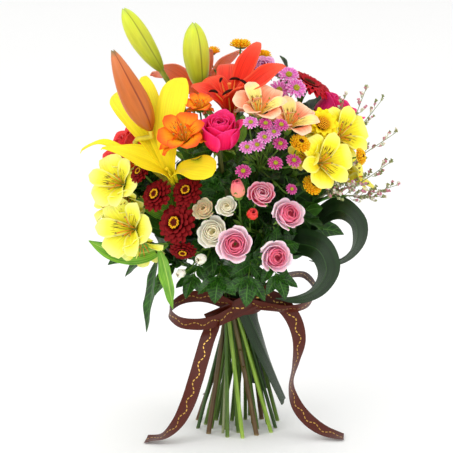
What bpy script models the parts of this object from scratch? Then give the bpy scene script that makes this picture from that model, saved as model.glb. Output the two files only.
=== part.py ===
"""A hand-tied bouquet that stands on its own spiral of cut stems, tied with a satin ribbon.

Millimetres are used for every size below and become metres where a mesh is made. +X is to the
right of the front, +Y towards the back and +Z up. The origin is the centre of the middle stem's
cut face, on the surface that the bouquet stands on. Part one lays out the bouquet, part two
routes its stems, part three shapes leaves, blooms and ribbon, and part four makes the objects.
"""

import math

import bmesh
import bpy
import numpy as np

for old in list(bpy.data.objects):
    bpy.data.objects.remove(old)

MM = 0.001

# Driving dimensions
TIE_HEIGHT = 150.0  # the ribbon's middle above the surface
FOOT_SPREAD = 3.2  # how much wider the bundle is at the floor than at the tie
BAND_HALF = 10.0  # half the ribbon's width
CLEAR = 0.35  # air between pieces that touch
HEART = np.array([0.0, 0.0, 215.0])  # blooms look away from this point
STEM_SIDES = 5
SPIRAL = math.sqrt(FOOT_SPREAD**2 - 1) / TIE_HEIGHT  # turn of a stem round the axis, per mm

# Colours as linear red, green, blue
COLOURS = {
    "stem_green": (0.13, 0.25, 0.03),
    "stem_brown": (0.12, 0.07, 0.02),
    "leaf_dark": (0.015, 0.06, 0.01),
    "leaf_grey": (0.05, 0.1, 0.03),
    "bud_russet": (0.5, 0.15, 0.03),
    "yellow": (0.95, 0.72, 0.02),
    "lemon": (0.85, 0.8, 0.1),
    "gold": (0.95, 0.45, 0.01),
    "orange": (0.95, 0.3, 0.01),
    "red_orange": (0.85, 0.06, 0.01),
    "peach": (0.9, 0.42, 0.2),
    "hot_pink": (0.9, 0.01, 0.1),
    "coral": (0.85, 0.06, 0.05),
    "magenta": (0.7, 0.005, 0.12),
    "pale_pink": (0.85, 0.4, 0.5),
    "cream": (0.85, 0.85, 0.6),
    "lilac": (0.75, 0.3, 0.6),
    "dark_red": (0.2, 0.003, 0.006),
    "twig_green": (0.3, 0.33, 0.2),
    "ribbon_brown": (0.045, 0.012, 0.006),
}

# Part one: the layout, in millimetres.
# A plant has a stem (width, colour) from the floor to its hub. A bloom is (kind, middle of its
# face, width, facing), and with no facing it looks straight out from HEART. A bud's size is its
# length. A leaf is (base, tip, half its width, how far its middle sags), on the stem's own node.
# "single" is one bloom on the stem's end, "spray" a head of blooms in one node, and "arms" are
# blooms in nodes of their own, on branches of the stem.
PLANTS = {
    "lily_orange": {
        "stem": (7.0, "stem_green"),
        "hub": (-6, -8, 330),
        "arms": [("lily_orange_bloom", "red_orange", "lily", (-8, -52, 384), 86, (0.0, -0.35, 0.93))],
        "buds": [("fat_bud", (-46, -4, 434), 74, (-0.1, 0.0, 0.99))],
    },
    "lily_yellow": {
        "stem": (7.0, "stem_green"),
        "hub": (-56, -52, 286),
        "arms": [
            ("lily_yellow_bloom", "yellow", "lily", (-76, -94, 326), 100, (-0.3, -0.5, 0.81)),
            ("lily_russet_bud", "bud_russet", "bud", (-116, -84, 411), 96, (-0.433, 0.163, 0.887)),
        ],
        "leaves": [
            ((-78, -74, 236), (-166, -62, 237), 13, 13),
            ((-88, -78, 232), (-72, -90, 166), 11, -10),
        ],
    },
    "lily_back": {
        "stem": (7.0, "stem_green"),
        "hub": (-38, 26, 325),
        "arms": [("lily_back_bloom", "red_orange", "lily", (-40, 56, 372), 84, (-0.2, 0.5, 0.84))],
        "buds": [("bud", (-107, 8, 450), 80, (-0.52, 0.05, 0.85))],
    },
    "rose_pink": {
        "stem": (6.0, "stem_brown"),
        "single": ("hot_pink", "rose", (-20, -112, 385), 47, (0.0, -0.36, 0.93)),
        "leaves": [
            ((-18, -68, 282), (-32, -98, 328), 18, 4),
            ((-2, -70, 276), (10, -102, 318), 17, 4),
        ],
    },
    "rose_coral": {
        "stem": (6.0, "stem_brown"),
        "single": ("coral", "rose", (-132, -22, 336), 46, None),
        "leaves": [
            ((-92, -18, 276), (-146, -34, 300), 17, -6),
            ((-90, 0, 268), (-142, 6, 304), 17, -6),
        ],
    },
    "rose_magenta": {
        "stem": (6.0, "stem_brown"),
        "single": ("magenta", "rose", (114, 10, 374), 46, None),
        "leaves": [
            ((92, 4, 304), (140, 2, 342), 17, -4),
            ((80, 26, 294), (122, 48, 328), 17, -6),
        ],
    },
    "rose_back": {
        "stem": (6.0, "stem_green"),
        "single": ("hot_pink", "rose", (34, 104, 346), 50, None),
        "leaves": [
            ((14, 74, 276), (-10, 112, 312), 18, -4),
            ((40, 72, 270), (60, 112, 318), 16, -4),
        ],
    },
    "gerbera": {
        "stem": (6.0, "stem_green"),
        "single": ("dark_red", "gerbera", (79, 4, 401), 56, (0.44, -0.12, 0.89)),
    },
    "spray_rose_pink": {
        "stem": (5.0, "stem_green"),
        "hub": (26, -58, 244),
        "spray": ("pale_pink", [
            ("spray_rose", (-4, -132, 251), 41, None),
            ("spray_rose", (43, -112, 231), 38, None),
            ("spray_rose", (57, -108, 280), 38, None),
            ("spray_rose", (26, -116, 305), 31, None),
            ("rose_bud", (-1, -118, 309), 25, (-0.1, -0.4, 0.9)),
            ("rose_bud", (15, -120, 282), 20, None),
        ]),
        "leaves": [
            ((14, -70, 216), (8, -104, 172), 13, -6),
            ((34, -66, 212), (52, -94, 178), 11, -6),
        ],
    },
    "spray_rose_white": {
        "stem": (5.0, "stem_green"),
        "hub": (-24, -56, 240),
        "spray": ("cream", [
            ("spray_rose", (-29, -111, 260), 36, None),
            ("spray_rose", (-39, -110, 286), 25, None),
            ("spray_rose", (-13, -114, 290), 24, None),
            ("rose_bud", (-41, -112, 229), 19, None),
            ("rose_bud", (-63, -98, 209), 15, None),
        ]),
        "leaves": [
            ((-18, -68, 212), (-26, -104, 176), 13, -6),
            ((-42, -62, 210), (-58, -84, 176), 10, -6),
        ],
    },
    "spray_rose_lilac": {
        "stem": (5.0, "stem_green"),
        "hub": (26, 12, 360),
        "spray": ("lilac", [
            ("spray_rose", (28, -10, 426), 34, (0.1, -0.55, 0.83)),
            ("spray_rose", (52, 36, 412), 28, None),
        ]),
    },
    "spray_rose_back": {
        "stem": (5.0, "stem_green"),
        "hub": (-14, 60, 236),
        "spray": ("pale_pink", [
            ("spray_rose", (-58, 96, 268), 40, None),
            ("spray_rose", (-16, 116, 258), 42, None),
            ("spray_rose", (26, 112, 232), 38, None),
        ]),
        "leaves": [
            ((-18, 74, 212), (-28, 110, 170), 13, -6),
            ((6, 76, 206), (20, 106, 166), 12, -6),
        ],
    },
    "alstro_left": {
        "stem": (5.0, "stem_green"),
        "hub": (-84, -36, 250),
        "spray": ("lemon", [
            ("alstro", (-125, -82, 256), 62, (-0.45, -0.85, 0.25)),
            ("alstro", (-137, -70, 307), 56, (-0.5, -0.75, 0.42)),
            ("alstro", (-146, -14, 272), 54, (-0.85, -0.2, 0.45)),
        ]),
    },
    "alstro_right": {
        "stem": (5.0, "stem_green"),
        "hub": (78, -32, 292),
        "spray": ("yellow", [
            ("alstro", (96, -90, 334), 56, (0.4, -0.85, 0.35)),
            ("alstro", (118, -52, 358), 56, (0.5, -0.7, 0.5)),
            ("alstro", (134, -10, 304), 54, None),
        ]),
        "leaves": [
            ((74, -35, 262), (120, -56, 285), 14, -6),
        ],
    },
    "alstro_orange": {
        "stem": (5.0, "stem_green"),
        "hub": (-40, -72, 330),
        "spray": ("orange", [
            ("alstro", (-62, -118, 373), 50, (-0.2, -0.6, 0.77)),
            ("alstro", (-43, -88, 399), 28, (-0.1, -0.45, 0.89)),
        ]),
        "leaves": [
            ((-44, -60, 282), (-60, -90, 330), 15, -4),
        ],
    },
    "alstro_peach": {
        "stem": (5.0, "stem_green"),
        "hub": (36, -52, 336),
        "spray": ("peach", [
            ("alstro", (24, -90, 400), 54, (0.1, -0.45, 0.88)),
            ("alstro", (60, -84, 383), 52, (0.3, -0.45, 0.84)),
        ]),
    },
    "alstro_back": {
        "stem": (5.0, "stem_green"),
        "hub": (-68, 50, 280),
        "spray": ("orange", [
            ("alstro", (-96, 74, 324), 56, None),
            ("alstro", (-124, 40, 296), 54, None),
        ]),
        "leaves": [
            ((-74, 56, 250), (-116, 84, 276), 17, -6),
        ],
    },
    "mum_red": {
        "stem": (5.0, "stem_green"),
        "hub": (-54, -52, 250),
        "spray": ("dark_red", [
            ("mum", (-69, -108, 269), 42, None),
            ("mum", (-91, -92, 297), 36, None),
            ("mum", (-109, -84, 321), 25, None),
            ("mum", (-57, -98, 303), 34, None),
            ("mum", (-61, -96, 233), 28, (-0.1, -0.8, -0.6)),
        ]),
        "leaves": [
            ((-30, -64, 224), (-28, -102, 208), 14, -6),
        ],
    },
    "mum_back": {
        "stem": (5.0, "stem_green"),
        "hub": (52, 50, 262),
        "spray": ("dark_red", [
            ("mum", (84, 84, 310), 42, None),
            ("mum", (66, 98, 266), 40, None),
            ("mum", (106, 58, 272), 38, None),
        ]),
    },
    "daisy_pink": {
        "stem": (4.5, "stem_green"),
        "hub": (22, -72, 318),
        "spray": ("lilac", [
            ("daisy", (9, -126, 358), 17, None),
            ("daisy", (20, -124, 360), 17, None),
            ("daisy", (28, -122, 368), 17, None),
            ("daisy", (13, -120, 384), 17, None),
            ("daisy", (29, -116, 382), 16, None),
            ("daisy", (38, -118, 373), 16, None),
            ("daisy", (46, -114, 380), 17, None),
            ("daisy", (45, -118, 360), 17, None),
            ("daisy", (40, -120, 339), 17, None),
            ("daisy", (60, -112, 340), 17, None),
            ("daisy", (5, -124, 331), 17, None),
            ("daisy", (58, -108, 307), 13, None),
        ]),
        "leaves": [
            ((26, -62, 252), (32, -104, 262), 15, -6),
        ],
    },
    "daisy_lilac": {
        "stem": (4.5, "stem_green"),
        "hub": (38, 30, 345),
        "spray": ("lilac", [
            ("daisy", (45, -42, 403), 24, (0.15, -0.75, 0.64)),
            ("daisy", (64, -44, 406), 24, (0.3, -0.7, 0.64)),
            ("daisy", (56, -20, 416), 24, (0.2, -0.6, 0.77)),
            ("daisy", (24, 72, 400), 24, None),
            ("daisy", (56, 66, 388), 24, None),
        ]),
    },
    "button_front": {
        "stem": (4.5, "stem_green"),
        "hub": (58, -50, 306),
        "spray": ("gold", [
            ("button", (68, -108, 360), 24, None),
            ("button", (82, -98, 310), 24, None),
            ("button", (136, -74, 336), 20, (0.9, -0.35, 0.3)),
            ("mum", (92, -70, 371), 35, (0.3, -0.78, 0.55)),
        ]),
        "leaves": [
            ((60, -50, 258), (92, -88, 254), 16, -6),
        ],
    },
    "button_top": {
        "stem": (4.5, "stem_green"),
        "hub": (0, 30, 365),
        "spray": ("gold", [
            ("button", (3, 22, 445), 26, (0.05, 0.1, 0.99)),
            ("button", (27, 44, 429), 24, None),
            ("button", (-32, 65, 428), 24, None),
        ]),
    },
    "foliage_left": {
        "stem": (4.5, "leaf_dark"),
        "hub": (-70, -40, 214),
        "leaves": [
            ((-90, -48, 212), (-102, -66, 132), 12, -8),
            ((-84, -28, 214), (-146, -30, 200), 13, -8),
            ((-70, -58, 208), (-92, -78, 178), 11, -4),
            ((-84, -10, 212), (-128, 8, 176), 12, -8),
        ],
    },
    "foliage_back": {
        "stem": (4.5, "leaf_dark"),
        "hub": (44, 56, 212),
        "leaves": [
            ((56, 68, 208), (90, 96, 176), 13, -8),
            ((62, 48, 212), (122, 52, 214), 13, -8),
            ((36, 76, 208), (46, 118, 186), 13, -8),
            ((-14, 50, 198), (-72, 74, 186), 12, -8),
        ],
    },
    "limonium_right": {"stem": (3.5, "twig_green"), "hub": (92, -22, 276), "twigs": "right"},
    "limonium_back": {"stem": (3.5, "twig_green"), "hub": (-34, 70, 300), "twigs": "back"},
}

# Tepal tips of the open lilies, with half the tepal's width
LILY_TIPS = {
    "lily_yellow_bloom": [
        ((-26, -130, 331), 16),
        ((-150, -86, 346), 14),
        ((-174, -52, 334), 5),
        ((-136, -10, 392), 12),
        ((-104, -18, 413), 12),
        ((-62, -58, 420), 16),
    ],
    "lily_orange_bloom": [
        ((52, -56, 432), 14),
        ((24, 2, 447), 10),
        ((-10, 10, 421), 13),
        ((-34, -24, 413), 13),
        ((-52, -64, 411), 13),
        ((2, -84, 414), 10),
    ],
    "lily_back_bloom": [
        ((-93, 26, 414), 14),
        ((-100, 66, 398), 12),
        ((-56, 120, 386), 13),
        ((2, 104, 396), 13),
        ((6, 64, 426), 10),
        ((-38, 20, 436), 12),
    ],
}

# Points that a branch passes on its way to a bloom, where the straight way is through a tepal
WAYS = {(-116, -84, 411): (-112, -79, 355)}

# Twigs of the sea lavender: the tip of each side branch
TWIG_TIPS = {
    "right": [
        (118, -20, 392), (142, -24, 402), (160, -20, 388), (176, -18, 350), (170, -26, 318),
        (178, -20, 290), (160, -34, 280), (128, -66, 300), (108, -84, 292),
    ],
    "back": [(-56, 108, 350), (-76, 104, 320), (-34, 128, 320), (-86, 92, 360), (-12, 130, 300)],
}

# How deep a bloom is below the middle of its face, as a share of its size
DEPTHS = {
    "lily": 0.22, "bud": 0.5, "fat_bud": 0.5, "rose": 0.8, "spray_rose": 0.42, "rose_bud": 0.5,
    "alstro": 0.5, "mum": 0.16, "daisy": 0.14, "button": 0.3, "gerbera": 0.12,
}

# Half the width of a bud, as a share of its length
BUD_HALVES = {"bud": 0.155, "fat_bud": 0.2, "rose_bud": 0.33}


# Part two: where the stems run
def unit(vector):
    vector = np.asarray(vector, float)
    return vector / np.linalg.norm(vector)


def on_spiral(spot, height):
    """Where the stem that passes the tie at spot is at this height."""
    turn = SPIRAL * (height - TIE_HEIGHT)
    return np.array([spot[0] + turn * spot[1], spot[1] - turn * spot[0], height])


def bloom(kind, face, size, facing):
    """A bloom with its base worked out from the middle of its face."""
    way = WAYS.get(tuple(face))
    face = np.asarray(face, float)
    ahead = unit(face - HEART if facing is None else facing)
    base = face - DEPTHS[kind] * size * ahead
    return {"kind": kind, "size": size, "facing": ahead, "base": base, "way": way}


def blooms_of(plant):
    """The plant's blooms: a single one, the branches' ones, or those of its spray."""
    if "single" in plant:
        return [bloom(*plant["single"][1:])]
    if "arms" in plant:
        return [bloom(*arm[2:]) for arm in plant["arms"]]
    return [bloom(*entry) for entry in plant.get("spray", ("", []))[1]]


def buds_of(plant):
    return [bloom(*entry) for entry in plant.get("buds", [])]


def hub_of(plant):
    """Where the stem ends: at its branches, or just under its single bloom."""
    if "single" in plant:
        only = blooms_of(plant)[0]
        return only["base"] - CLEAR * only["facing"]
    return np.asarray(plant["hub"], float)


def tepal_rib(base, facing, tip, stations=6):
    """The middle line of a lily's tepal: out of the throat along the axis, then over to its tip."""
    tip = np.asarray(tip, float)
    span = np.linalg.norm(tip - base)
    shoulder = base + 0.5 * span * facing
    crown = tip + 0.12 * span * facing
    rib = []
    for share in np.linspace(0, 1, stations):
        rest = 1 - share
        rib.append(
            rest**3 * base + 3 * rest**2 * share * shoulder + 3 * rest * share**2 * crown + share**3 * tip
        )
    return np.array(rib)


def leaf_rib(base, tip, sag, stations=6):
    """The middle line of a leaf, whose middle hangs by sag below the straight line."""
    share = np.linspace(0, 1, stations)[:, None]
    rib = np.asarray(base, float) * (1 - share) + np.asarray(tip, float) * share
    rib[:, 2] -= sag * 4 * (share * (1 - share))[:, 0]
    return rib


def pack_tie(plants):
    """Slide the stems together where they are tied, each one on the side that its hub is on."""
    names = list(plants)
    radii = np.array([plants[name]["stem"][0] / 2 for name in names])
    hubs = np.array([hub_of(plant) for plant in plants.values()])
    lean = np.hypot(hubs[:, 0], hubs[:, 1]) / np.maximum(hubs[:, 2] - TIE_HEIGHT, 40)
    rank = np.argsort(np.argsort(lean))
    around = np.arctan2(hubs[:, 1], hubs[:, 0]) + math.radians(66)
    out = 3 + 19 * np.sqrt(rank / len(names))
    spots = np.stack([out * np.cos(around), out * np.sin(around)], 1)
    first, second = np.triu_indices(len(names), 1)
    for step in range(3000):
        pull = 0.02 if step < 2400 else 0.0
        spots *= 1 - pull * 0.25
        between = spots[first] - spots[second]
        middle = (spots[first] + spots[second]) / 2
        out = np.maximum(np.linalg.norm(middle, axis=1), 1e-6)
        along = np.stack([-middle[:, 1], middle[:, 0]], 1) / out[:, None]
        lean_square = (SPIRAL * out) ** 2
        shrink = lean_square / (1 + lean_square)
        flat = np.sum(between**2, 1) - shrink * np.sum(between * along, 1) ** 2
        apart = np.sqrt(np.maximum(flat, 1e-9))
        deep = np.maximum(radii[first] + radii[second] + CLEAR - apart, 0)
        push = between / np.maximum(np.linalg.norm(between, axis=1), 1e-6)[:, None] * deep[:, None] * 0.5
        np.add.at(spots, first, push)
        np.add.at(spots, second, -push)
        spots[0] = 0
    return dict(zip(names, spots))


def closest(start_a, end_a, start_b, end_b):
    """Shares along two lines at which they are nearest each other, for many pairs at once."""
    run_a = end_a - start_a
    run_b = end_b - start_b
    between = start_a - start_b
    aa = np.sum(run_a * run_a, 1)
    bb = np.sum(run_b * run_b, 1)
    ab = np.sum(run_a * run_b, 1)
    ac = np.sum(run_a * between, 1)
    bc = np.sum(run_b * between, 1)
    share_a = np.clip((ab * bc - ac * bb) / np.maximum(aa * bb - ab * ab, 1e-9), 0, 1)
    share_b = np.clip((ab * share_a + bc) / bb, 0, 1)
    share_a = np.clip((ab * share_b - ac) / aa, 0, 1)
    return share_a[:, None], share_b[:, None]


class Net:
    """The lines of all stems and branches as points and edges, which push each other apart."""

    def __init__(self):
        self.points = []
        self.fixed = []
        self.edges = []
        self.widths = []
        self.groups = []
        self.balls = []

    def point(self, place, fixed):
        self.points.append(np.asarray(place, float))
        self.fixed.append(fixed)
        return len(self.points) - 1

    def chain(self, ids, width, group):
        for start, end in zip(ids[:-1], ids[1:]):
            self.edges.append((start, end))
            self.widths.append(width / 2)
            self.groups.append(group)

    def ball(self, middle, radius, group):
        self.balls.append((*middle, radius, group))

    def relax(self, steps):
        points = np.array(self.points)
        free = ~np.array(self.fixed)
        edges = np.array(self.edges)
        radii = np.array(self.widths)
        groups = np.array(self.groups)
        balls = np.array(self.balls)
        first, second = np.triu_indices(len(edges), 1)
        meet = (edges[first][:, :, None] == edges[second][:, None, :]).any((1, 2))
        keep = (groups[first] != groups[second]) & ~meet
        first, second = first[keep], second[keep]
        touch_e, touch_b = np.nonzero((groups // 2)[:, None] != (balls[:, 4] // 2)[None, :])
        heart = balls[touch_b][:, :3]
        for step in range(steps):
            move = np.zeros_like(points)
            ends = [points[edges[pair, end]] for pair in (first, second) for end in (0, 1)]
            share_a, share_b = closest(*ends)
            gap = ends[0] + (ends[1] - ends[0]) * share_a - ends[2] - (ends[3] - ends[2]) * share_b
            far = np.maximum(np.linalg.norm(gap, axis=1), 1e-6)
            deep = radii[first] + radii[second] + 2 * CLEAR - far
            hit = deep > 0
            push = (gap / far[:, None] * deep[:, None] * 0.5)[hit]
            for ids, share, sign in ((first, share_a, 1), (second, share_b, -1)):
                np.add.at(move, edges[ids[hit], 0], sign * push * (1 - share[hit]))
                np.add.at(move, edges[ids[hit], 1], sign * push * share[hit])
            start, end = points[edges[touch_e, 0]], points[edges[touch_e, 1]]
            run = end - start
            share = np.clip(np.sum((heart - start) * run, 1) / np.sum(run * run, 1), 0, 1)[:, None]
            gap = start + run * share - heart
            far = np.maximum(np.linalg.norm(gap, axis=1), 1e-6)
            deep = balls[touch_b, 3] + radii[touch_e] + CLEAR - far
            hit = deep > 0
            push = (gap / far[:, None] * deep[:, None] * 0.5)[hit]
            np.add.at(move, edges[touch_e[hit], 0], push * (1 - share[hit]))
            np.add.at(move, edges[touch_e[hit], 1], push * share[hit])
            total = np.zeros_like(points)
            count = np.zeros(len(points))
            for one, other in ((0, 1), (1, 0)):
                np.add.at(total, edges[:, one], points[edges[:, other]])
                np.add.at(count, edges[:, one], 1)
            even = total / np.maximum(count, 1)[:, None] - points
            smooth = 0.12 if step < steps * 0.7 else 0.0
            move = np.clip(move, -3, 3) + smooth * even
            points[free] += move[free]
        self.solved = points
        return points


BRANCH = 2.4  # width of the thin stalks in a spray
LIMB = 5.0  # width of a lily's branches


def stalk(net, start, bloom_here, width, group):
    """A branch from a point of the net to the base of a bloom, straight for its last stretch."""
    way = bloom_here["way"]
    neck = bloom_here["base"] - (9 if way is None else 4) * bloom_here["facing"]
    origin = net.points[start]
    ids = [start]
    if way is not None:
        ids.append(net.point(0.5 * (origin + way) + (-12, 4, 0), True))
        ids.append(net.point(way, True))
    else:
        ids.append(net.point(origin * 0.5 + neck * 0.5, False))
    ids += [net.point(neck, True), net.point(bloom_here["base"], True)]
    net.chain(ids, width, group)
    return ids


def guard(net, bloom_here, name, group):
    """Balls that keep other plants' stems out of a bloom."""
    base, ahead, size = bloom_here["base"], bloom_here["facing"], bloom_here["size"]
    kind = bloom_here["kind"]
    if kind == "lily":
        net.ball(base + 0.1 * size * ahead, 0.12 * size, group)
        for tip, half in LILY_TIPS[name]:
            for spot in tepal_rib(base, ahead, tip, 8)[1:]:
                net.ball(spot, 0.75 * half, group)
    elif kind in ("bud", "fat_bud"):
        for share in (0.1, 0.3, 0.5, 0.7):
            net.ball(base + share * size * ahead, BUD_HALVES[kind] * size, group)
    elif kind in ("mum", "daisy", "gerbera"):
        net.ball(base + 0.1 * size * ahead, 0.4 * size, group)
        net.ball(base + 0.4 * size * ahead, 0.5 * size, group)
    else:
        net.ball(base + 0.12 * size * ahead, 0.2 * size, group)
        net.ball(base + 0.4 * size * ahead, 0.47 * size, group)


def route(plants):
    """Run every stem and stalk. Gives each plant's chains of points."""
    spots = pack_tie(plants)
    net = Net()
    chains = {}
    for index, (name, plant) in enumerate(plants.items()):
        width = plant["stem"][0]
        stem_group, head_group = 2 * index, 2 * index + 1
        blooms = blooms_of(plant)
        hub = hub_of(plant)
        tied = [net.point(on_spiral(spots[name], TIE_HEIGHT + rise), True) for rise in (14, 26)]
        if "single" in plant:
            ahead = blooms[0]["facing"]
        elif "twigs" in plant:
            ahead = unit(np.mean(TWIG_TIPS[plant["twigs"]], 0) - hub)
        elif blooms:
            ahead = unit(np.mean([entry["base"] for entry in blooms], 0) - hub)
        else:
            ahead = unit(hub - HEART + (0, 0, 60))
        start = net.points[tied[1]]
        climb = unit(net.points[tied[1]] - net.points[tied[0]])
        reach = np.linalg.norm(hub - start)
        bends = []
        for share in (0.3, 0.65):
            rest = 1 - share
            place = (
                rest**3 * start
                + 3 * rest**2 * share * (start + climb * reach / 3)
                + 3 * rest * share**2 * (hub - ahead * (8 + reach / 4))
                + share**3 * hub
            )
            bends.append(net.point(place, False))
        top = net.point(hub, True)
        stem = tied + bends + [net.point(hub - 8 * ahead, True), top]
        net.chain(stem, width, stem_group)
        chains[name] = {"stem": stem, "stalks": [], "petioles": [], "spot": spots[name], "ahead": ahead}
        if "spray" in plant or "twigs" in plant:
            joint = net.point(hub + 6 * ahead, True)
            net.chain([top, joint], width, head_group)
            chains[name]["joint"] = joint
            for entry in blooms:
                chains[name]["stalks"].append(stalk(net, joint, entry, BRANCH, head_group))
            for tip in TWIG_TIPS.get(plant.get("twigs"), []):
                bend = net.point(0.5 * (np.array(tip) + hub) + 8 * ahead, False)
                ids = [joint, bend, net.point(tip, True)]
                net.chain(ids, 1.6, head_group)
                chains[name]["stalks"].append(ids)
        if "arms" in plant:
            for entry in blooms + buds_of(plant):
                chains[name]["stalks"].append(stalk(net, top, entry, LIMB, stem_group))
        names = [arm[0] for arm in plant["arms"]] if "arms" in plant else [name] * len(blooms)
        for entry, node in zip(blooms, names):
            guard(net, entry, node, head_group)
        for entry in buds_of(plant):
            guard(net, entry, name, stem_group)
        for base, tip, half, sag in plant.get("leaves", []):
            ids = [bends[-1], net.point(base, True)]
            net.chain(ids, BRANCH, stem_group)
            chains[name]["petioles"].append(ids)
            for spot in leaf_rib(base, tip, sag)[1:]:
                net.ball(spot, 0.6 * half, stem_group)
    net.relax(240)
    return net, chains


# Part three: shapes. A shape is its points and its triangles, and is closed.
def loft(rings, tip=None):
    """Join rings of equal count, with the first one capped and the last one capped or pointed."""
    rings = [np.asarray(ring, float) for ring in rings]
    count = len(rings[0])
    points = [point for ring in rings for point in ring]
    faces = []
    for level in range(len(rings) - 1):
        low, high = level * count, (level + 1) * count
        for side in range(count):
            after = (side + 1) % count
            edge, rib = (side, after) if side % 2 == 0 else (after, side)
            faces.append((low + edge, high + edge, high + rib))
            faces.append((low + edge, high + rib, low + rib))
    faces += [(0, step, step + 1) for step in range(1, count - 1)]
    last = (len(rings) - 1) * count
    if tip is None:
        faces += [(last, last + step, last + step + 1) for step in range(1, count - 1)]
    else:
        points.append(np.asarray(tip, float))
        faces += [(last + side, last + (side + 1) % count, len(points) - 1) for side in range(count)]
    return np.array(points), faces


def tube(line, radii, sides, cut=None):
    """A tube along a line. A cut is the height at which its start is cut level."""
    line = np.asarray(line, float)
    radii = np.broadcast_to(radii, len(line))
    runs = np.diff(line, axis=0)
    runs /= np.linalg.norm(runs, axis=1)[:, None]
    side = unit(np.cross(runs[0], (1.0, 0.3, 0.1)))
    rings = []
    for index, middle in enumerate(line):
        ahead = unit(runs[max(index - 1, 0)] + runs[min(index, len(runs) - 1)])
        side = unit(side - ahead * np.dot(side, ahead))
        other = np.cross(ahead, side)
        turns = [2 * math.pi * step / sides for step in range(sides)]
        ring = [middle + radii[index] * (math.cos(turn) * side + math.sin(turn) * other) for turn in turns]
        rings.append(np.array(ring))
    if cut is not None:
        rings[0] += runs[0] * ((cut - rings[0][:, 2]) / runs[0][2])[:, None]
    return loft(rings)


def blade_rings(rib, side, halves, thick, cup):
    """Sections along a rib, one for each half width: left edge, upper face, right edge, lower face."""
    rib = np.asarray(rib, float)
    sides = np.broadcast_to(side, rib.shape)
    thick = np.broadcast_to(thick, len(halves))
    rings = []
    for index, half in enumerate(halves):
        ahead = unit(rib[min(index + 1, len(rib) - 1)] - rib[max(index - 1, 0)])
        across = unit(sides[index] - ahead * np.dot(sides[index], ahead))
        upper = np.cross(ahead, across)
        lift = cup * half * upper
        rings.append([
            rib[index] - across * half + lift,
            rib[index] + upper * thick[index] / 2,
            rib[index] + across * half + lift,
            rib[index] - upper * thick[index] / 2,
        ])
    return rings


def blade(rib, side, halves, thick, cup=0.0):
    """A leaf along its rib, pointed where it has a half width fewer than the rib has points."""
    tip = rib[-1] if len(halves) < len(rib) else None
    return loft(blade_rings(rib, side, halves, thick, cup), tip)


def open_petal(rows, azimuth, thick, cup):
    """A petal round the bloom's axis from (radius, height, half width) rows, the last one its tip."""
    rows = np.asarray(rows, float)
    out = np.array([math.cos(azimuth), math.sin(azimuth), 0.0])
    across = np.array([-math.sin(azimuth), math.cos(azimuth), 0.0])
    rib = rows[:, :1] * out + rows[:, 1:2] * np.array([0, 0, 1.0])
    rings = blade_rings(rib, across, rows[:-1, 2], thick, cup)
    return azimuth, rings, rib[-1]


def rolled_petal(rows, azimuth, thick):
    """A rose petal, bent round the bloom's axis, from (radius, height, half angle) rows."""
    rings = []
    for radius, height, turn in rows:
        ring = []
        for side, bulge in ((-1, 0), (0, -thick / 2), (1, 0), (0, thick / 2)):
            angle, reach = azimuth + side * turn, radius + bulge
            ring.append((reach * math.cos(angle), reach * math.sin(angle), height))
        rings.append(ring)
    return azimuth, rings, None


def strap_petal(azimuth, reach, height, half_turn):
    """A daisy's petal: only its two far corners."""
    ends = [azimuth - half_turn, azimuth + half_turn]
    return azimuth, [[(reach * math.cos(end), reach * math.sin(end), height) for end in ends]], None


def stalk_rings(line, radius, entry):
    """Three-cornered sections of a stalk, in the place and size of the bloom on its end."""
    runs = np.diff(line, axis=0)
    runs /= np.linalg.norm(runs, axis=1)[:, None]
    side = unit(np.cross(runs[0], (1.0, 0.3, 0.1)))
    rings = []
    for index, middle in enumerate(line):
        ahead = unit(runs[max(index - 1, 0)] + runs[min(index, len(runs) - 1)])
        side = unit(side - ahead * np.dot(side, ahead))
        other = np.cross(ahead, side)
        turns = [2 * math.pi * step / 3 for step in range(3)]
        ring = [middle + radius * (math.cos(turn) * side + math.sin(turn) * other) for turn in turns]
        rings.append((np.array(ring) - entry["base"]) @ axes(entry["facing"]).T / entry["size"])
    return rings


def zipped(low, low_angles, high, high_angles):
    """Triangles between two rings of points, which need not have the same count."""
    full = 2 * math.pi
    order = sorted([(angle % full, 0, index) for index, angle in zip(low, low_angles)]
                   + [(angle % full, 1, index) for index, angle in zip(high, high_angles)])
    last = [None, None]
    for angle, which, index in order:
        last[which] = index
    faces = []
    for angle, which, index in order:
        faces.append((last[which], index, last[1 - which]))
        last[which] = index
    return faces


def angles_of(ring):
    return [math.atan2(point[1], point[0]) for point in ring]


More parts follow.
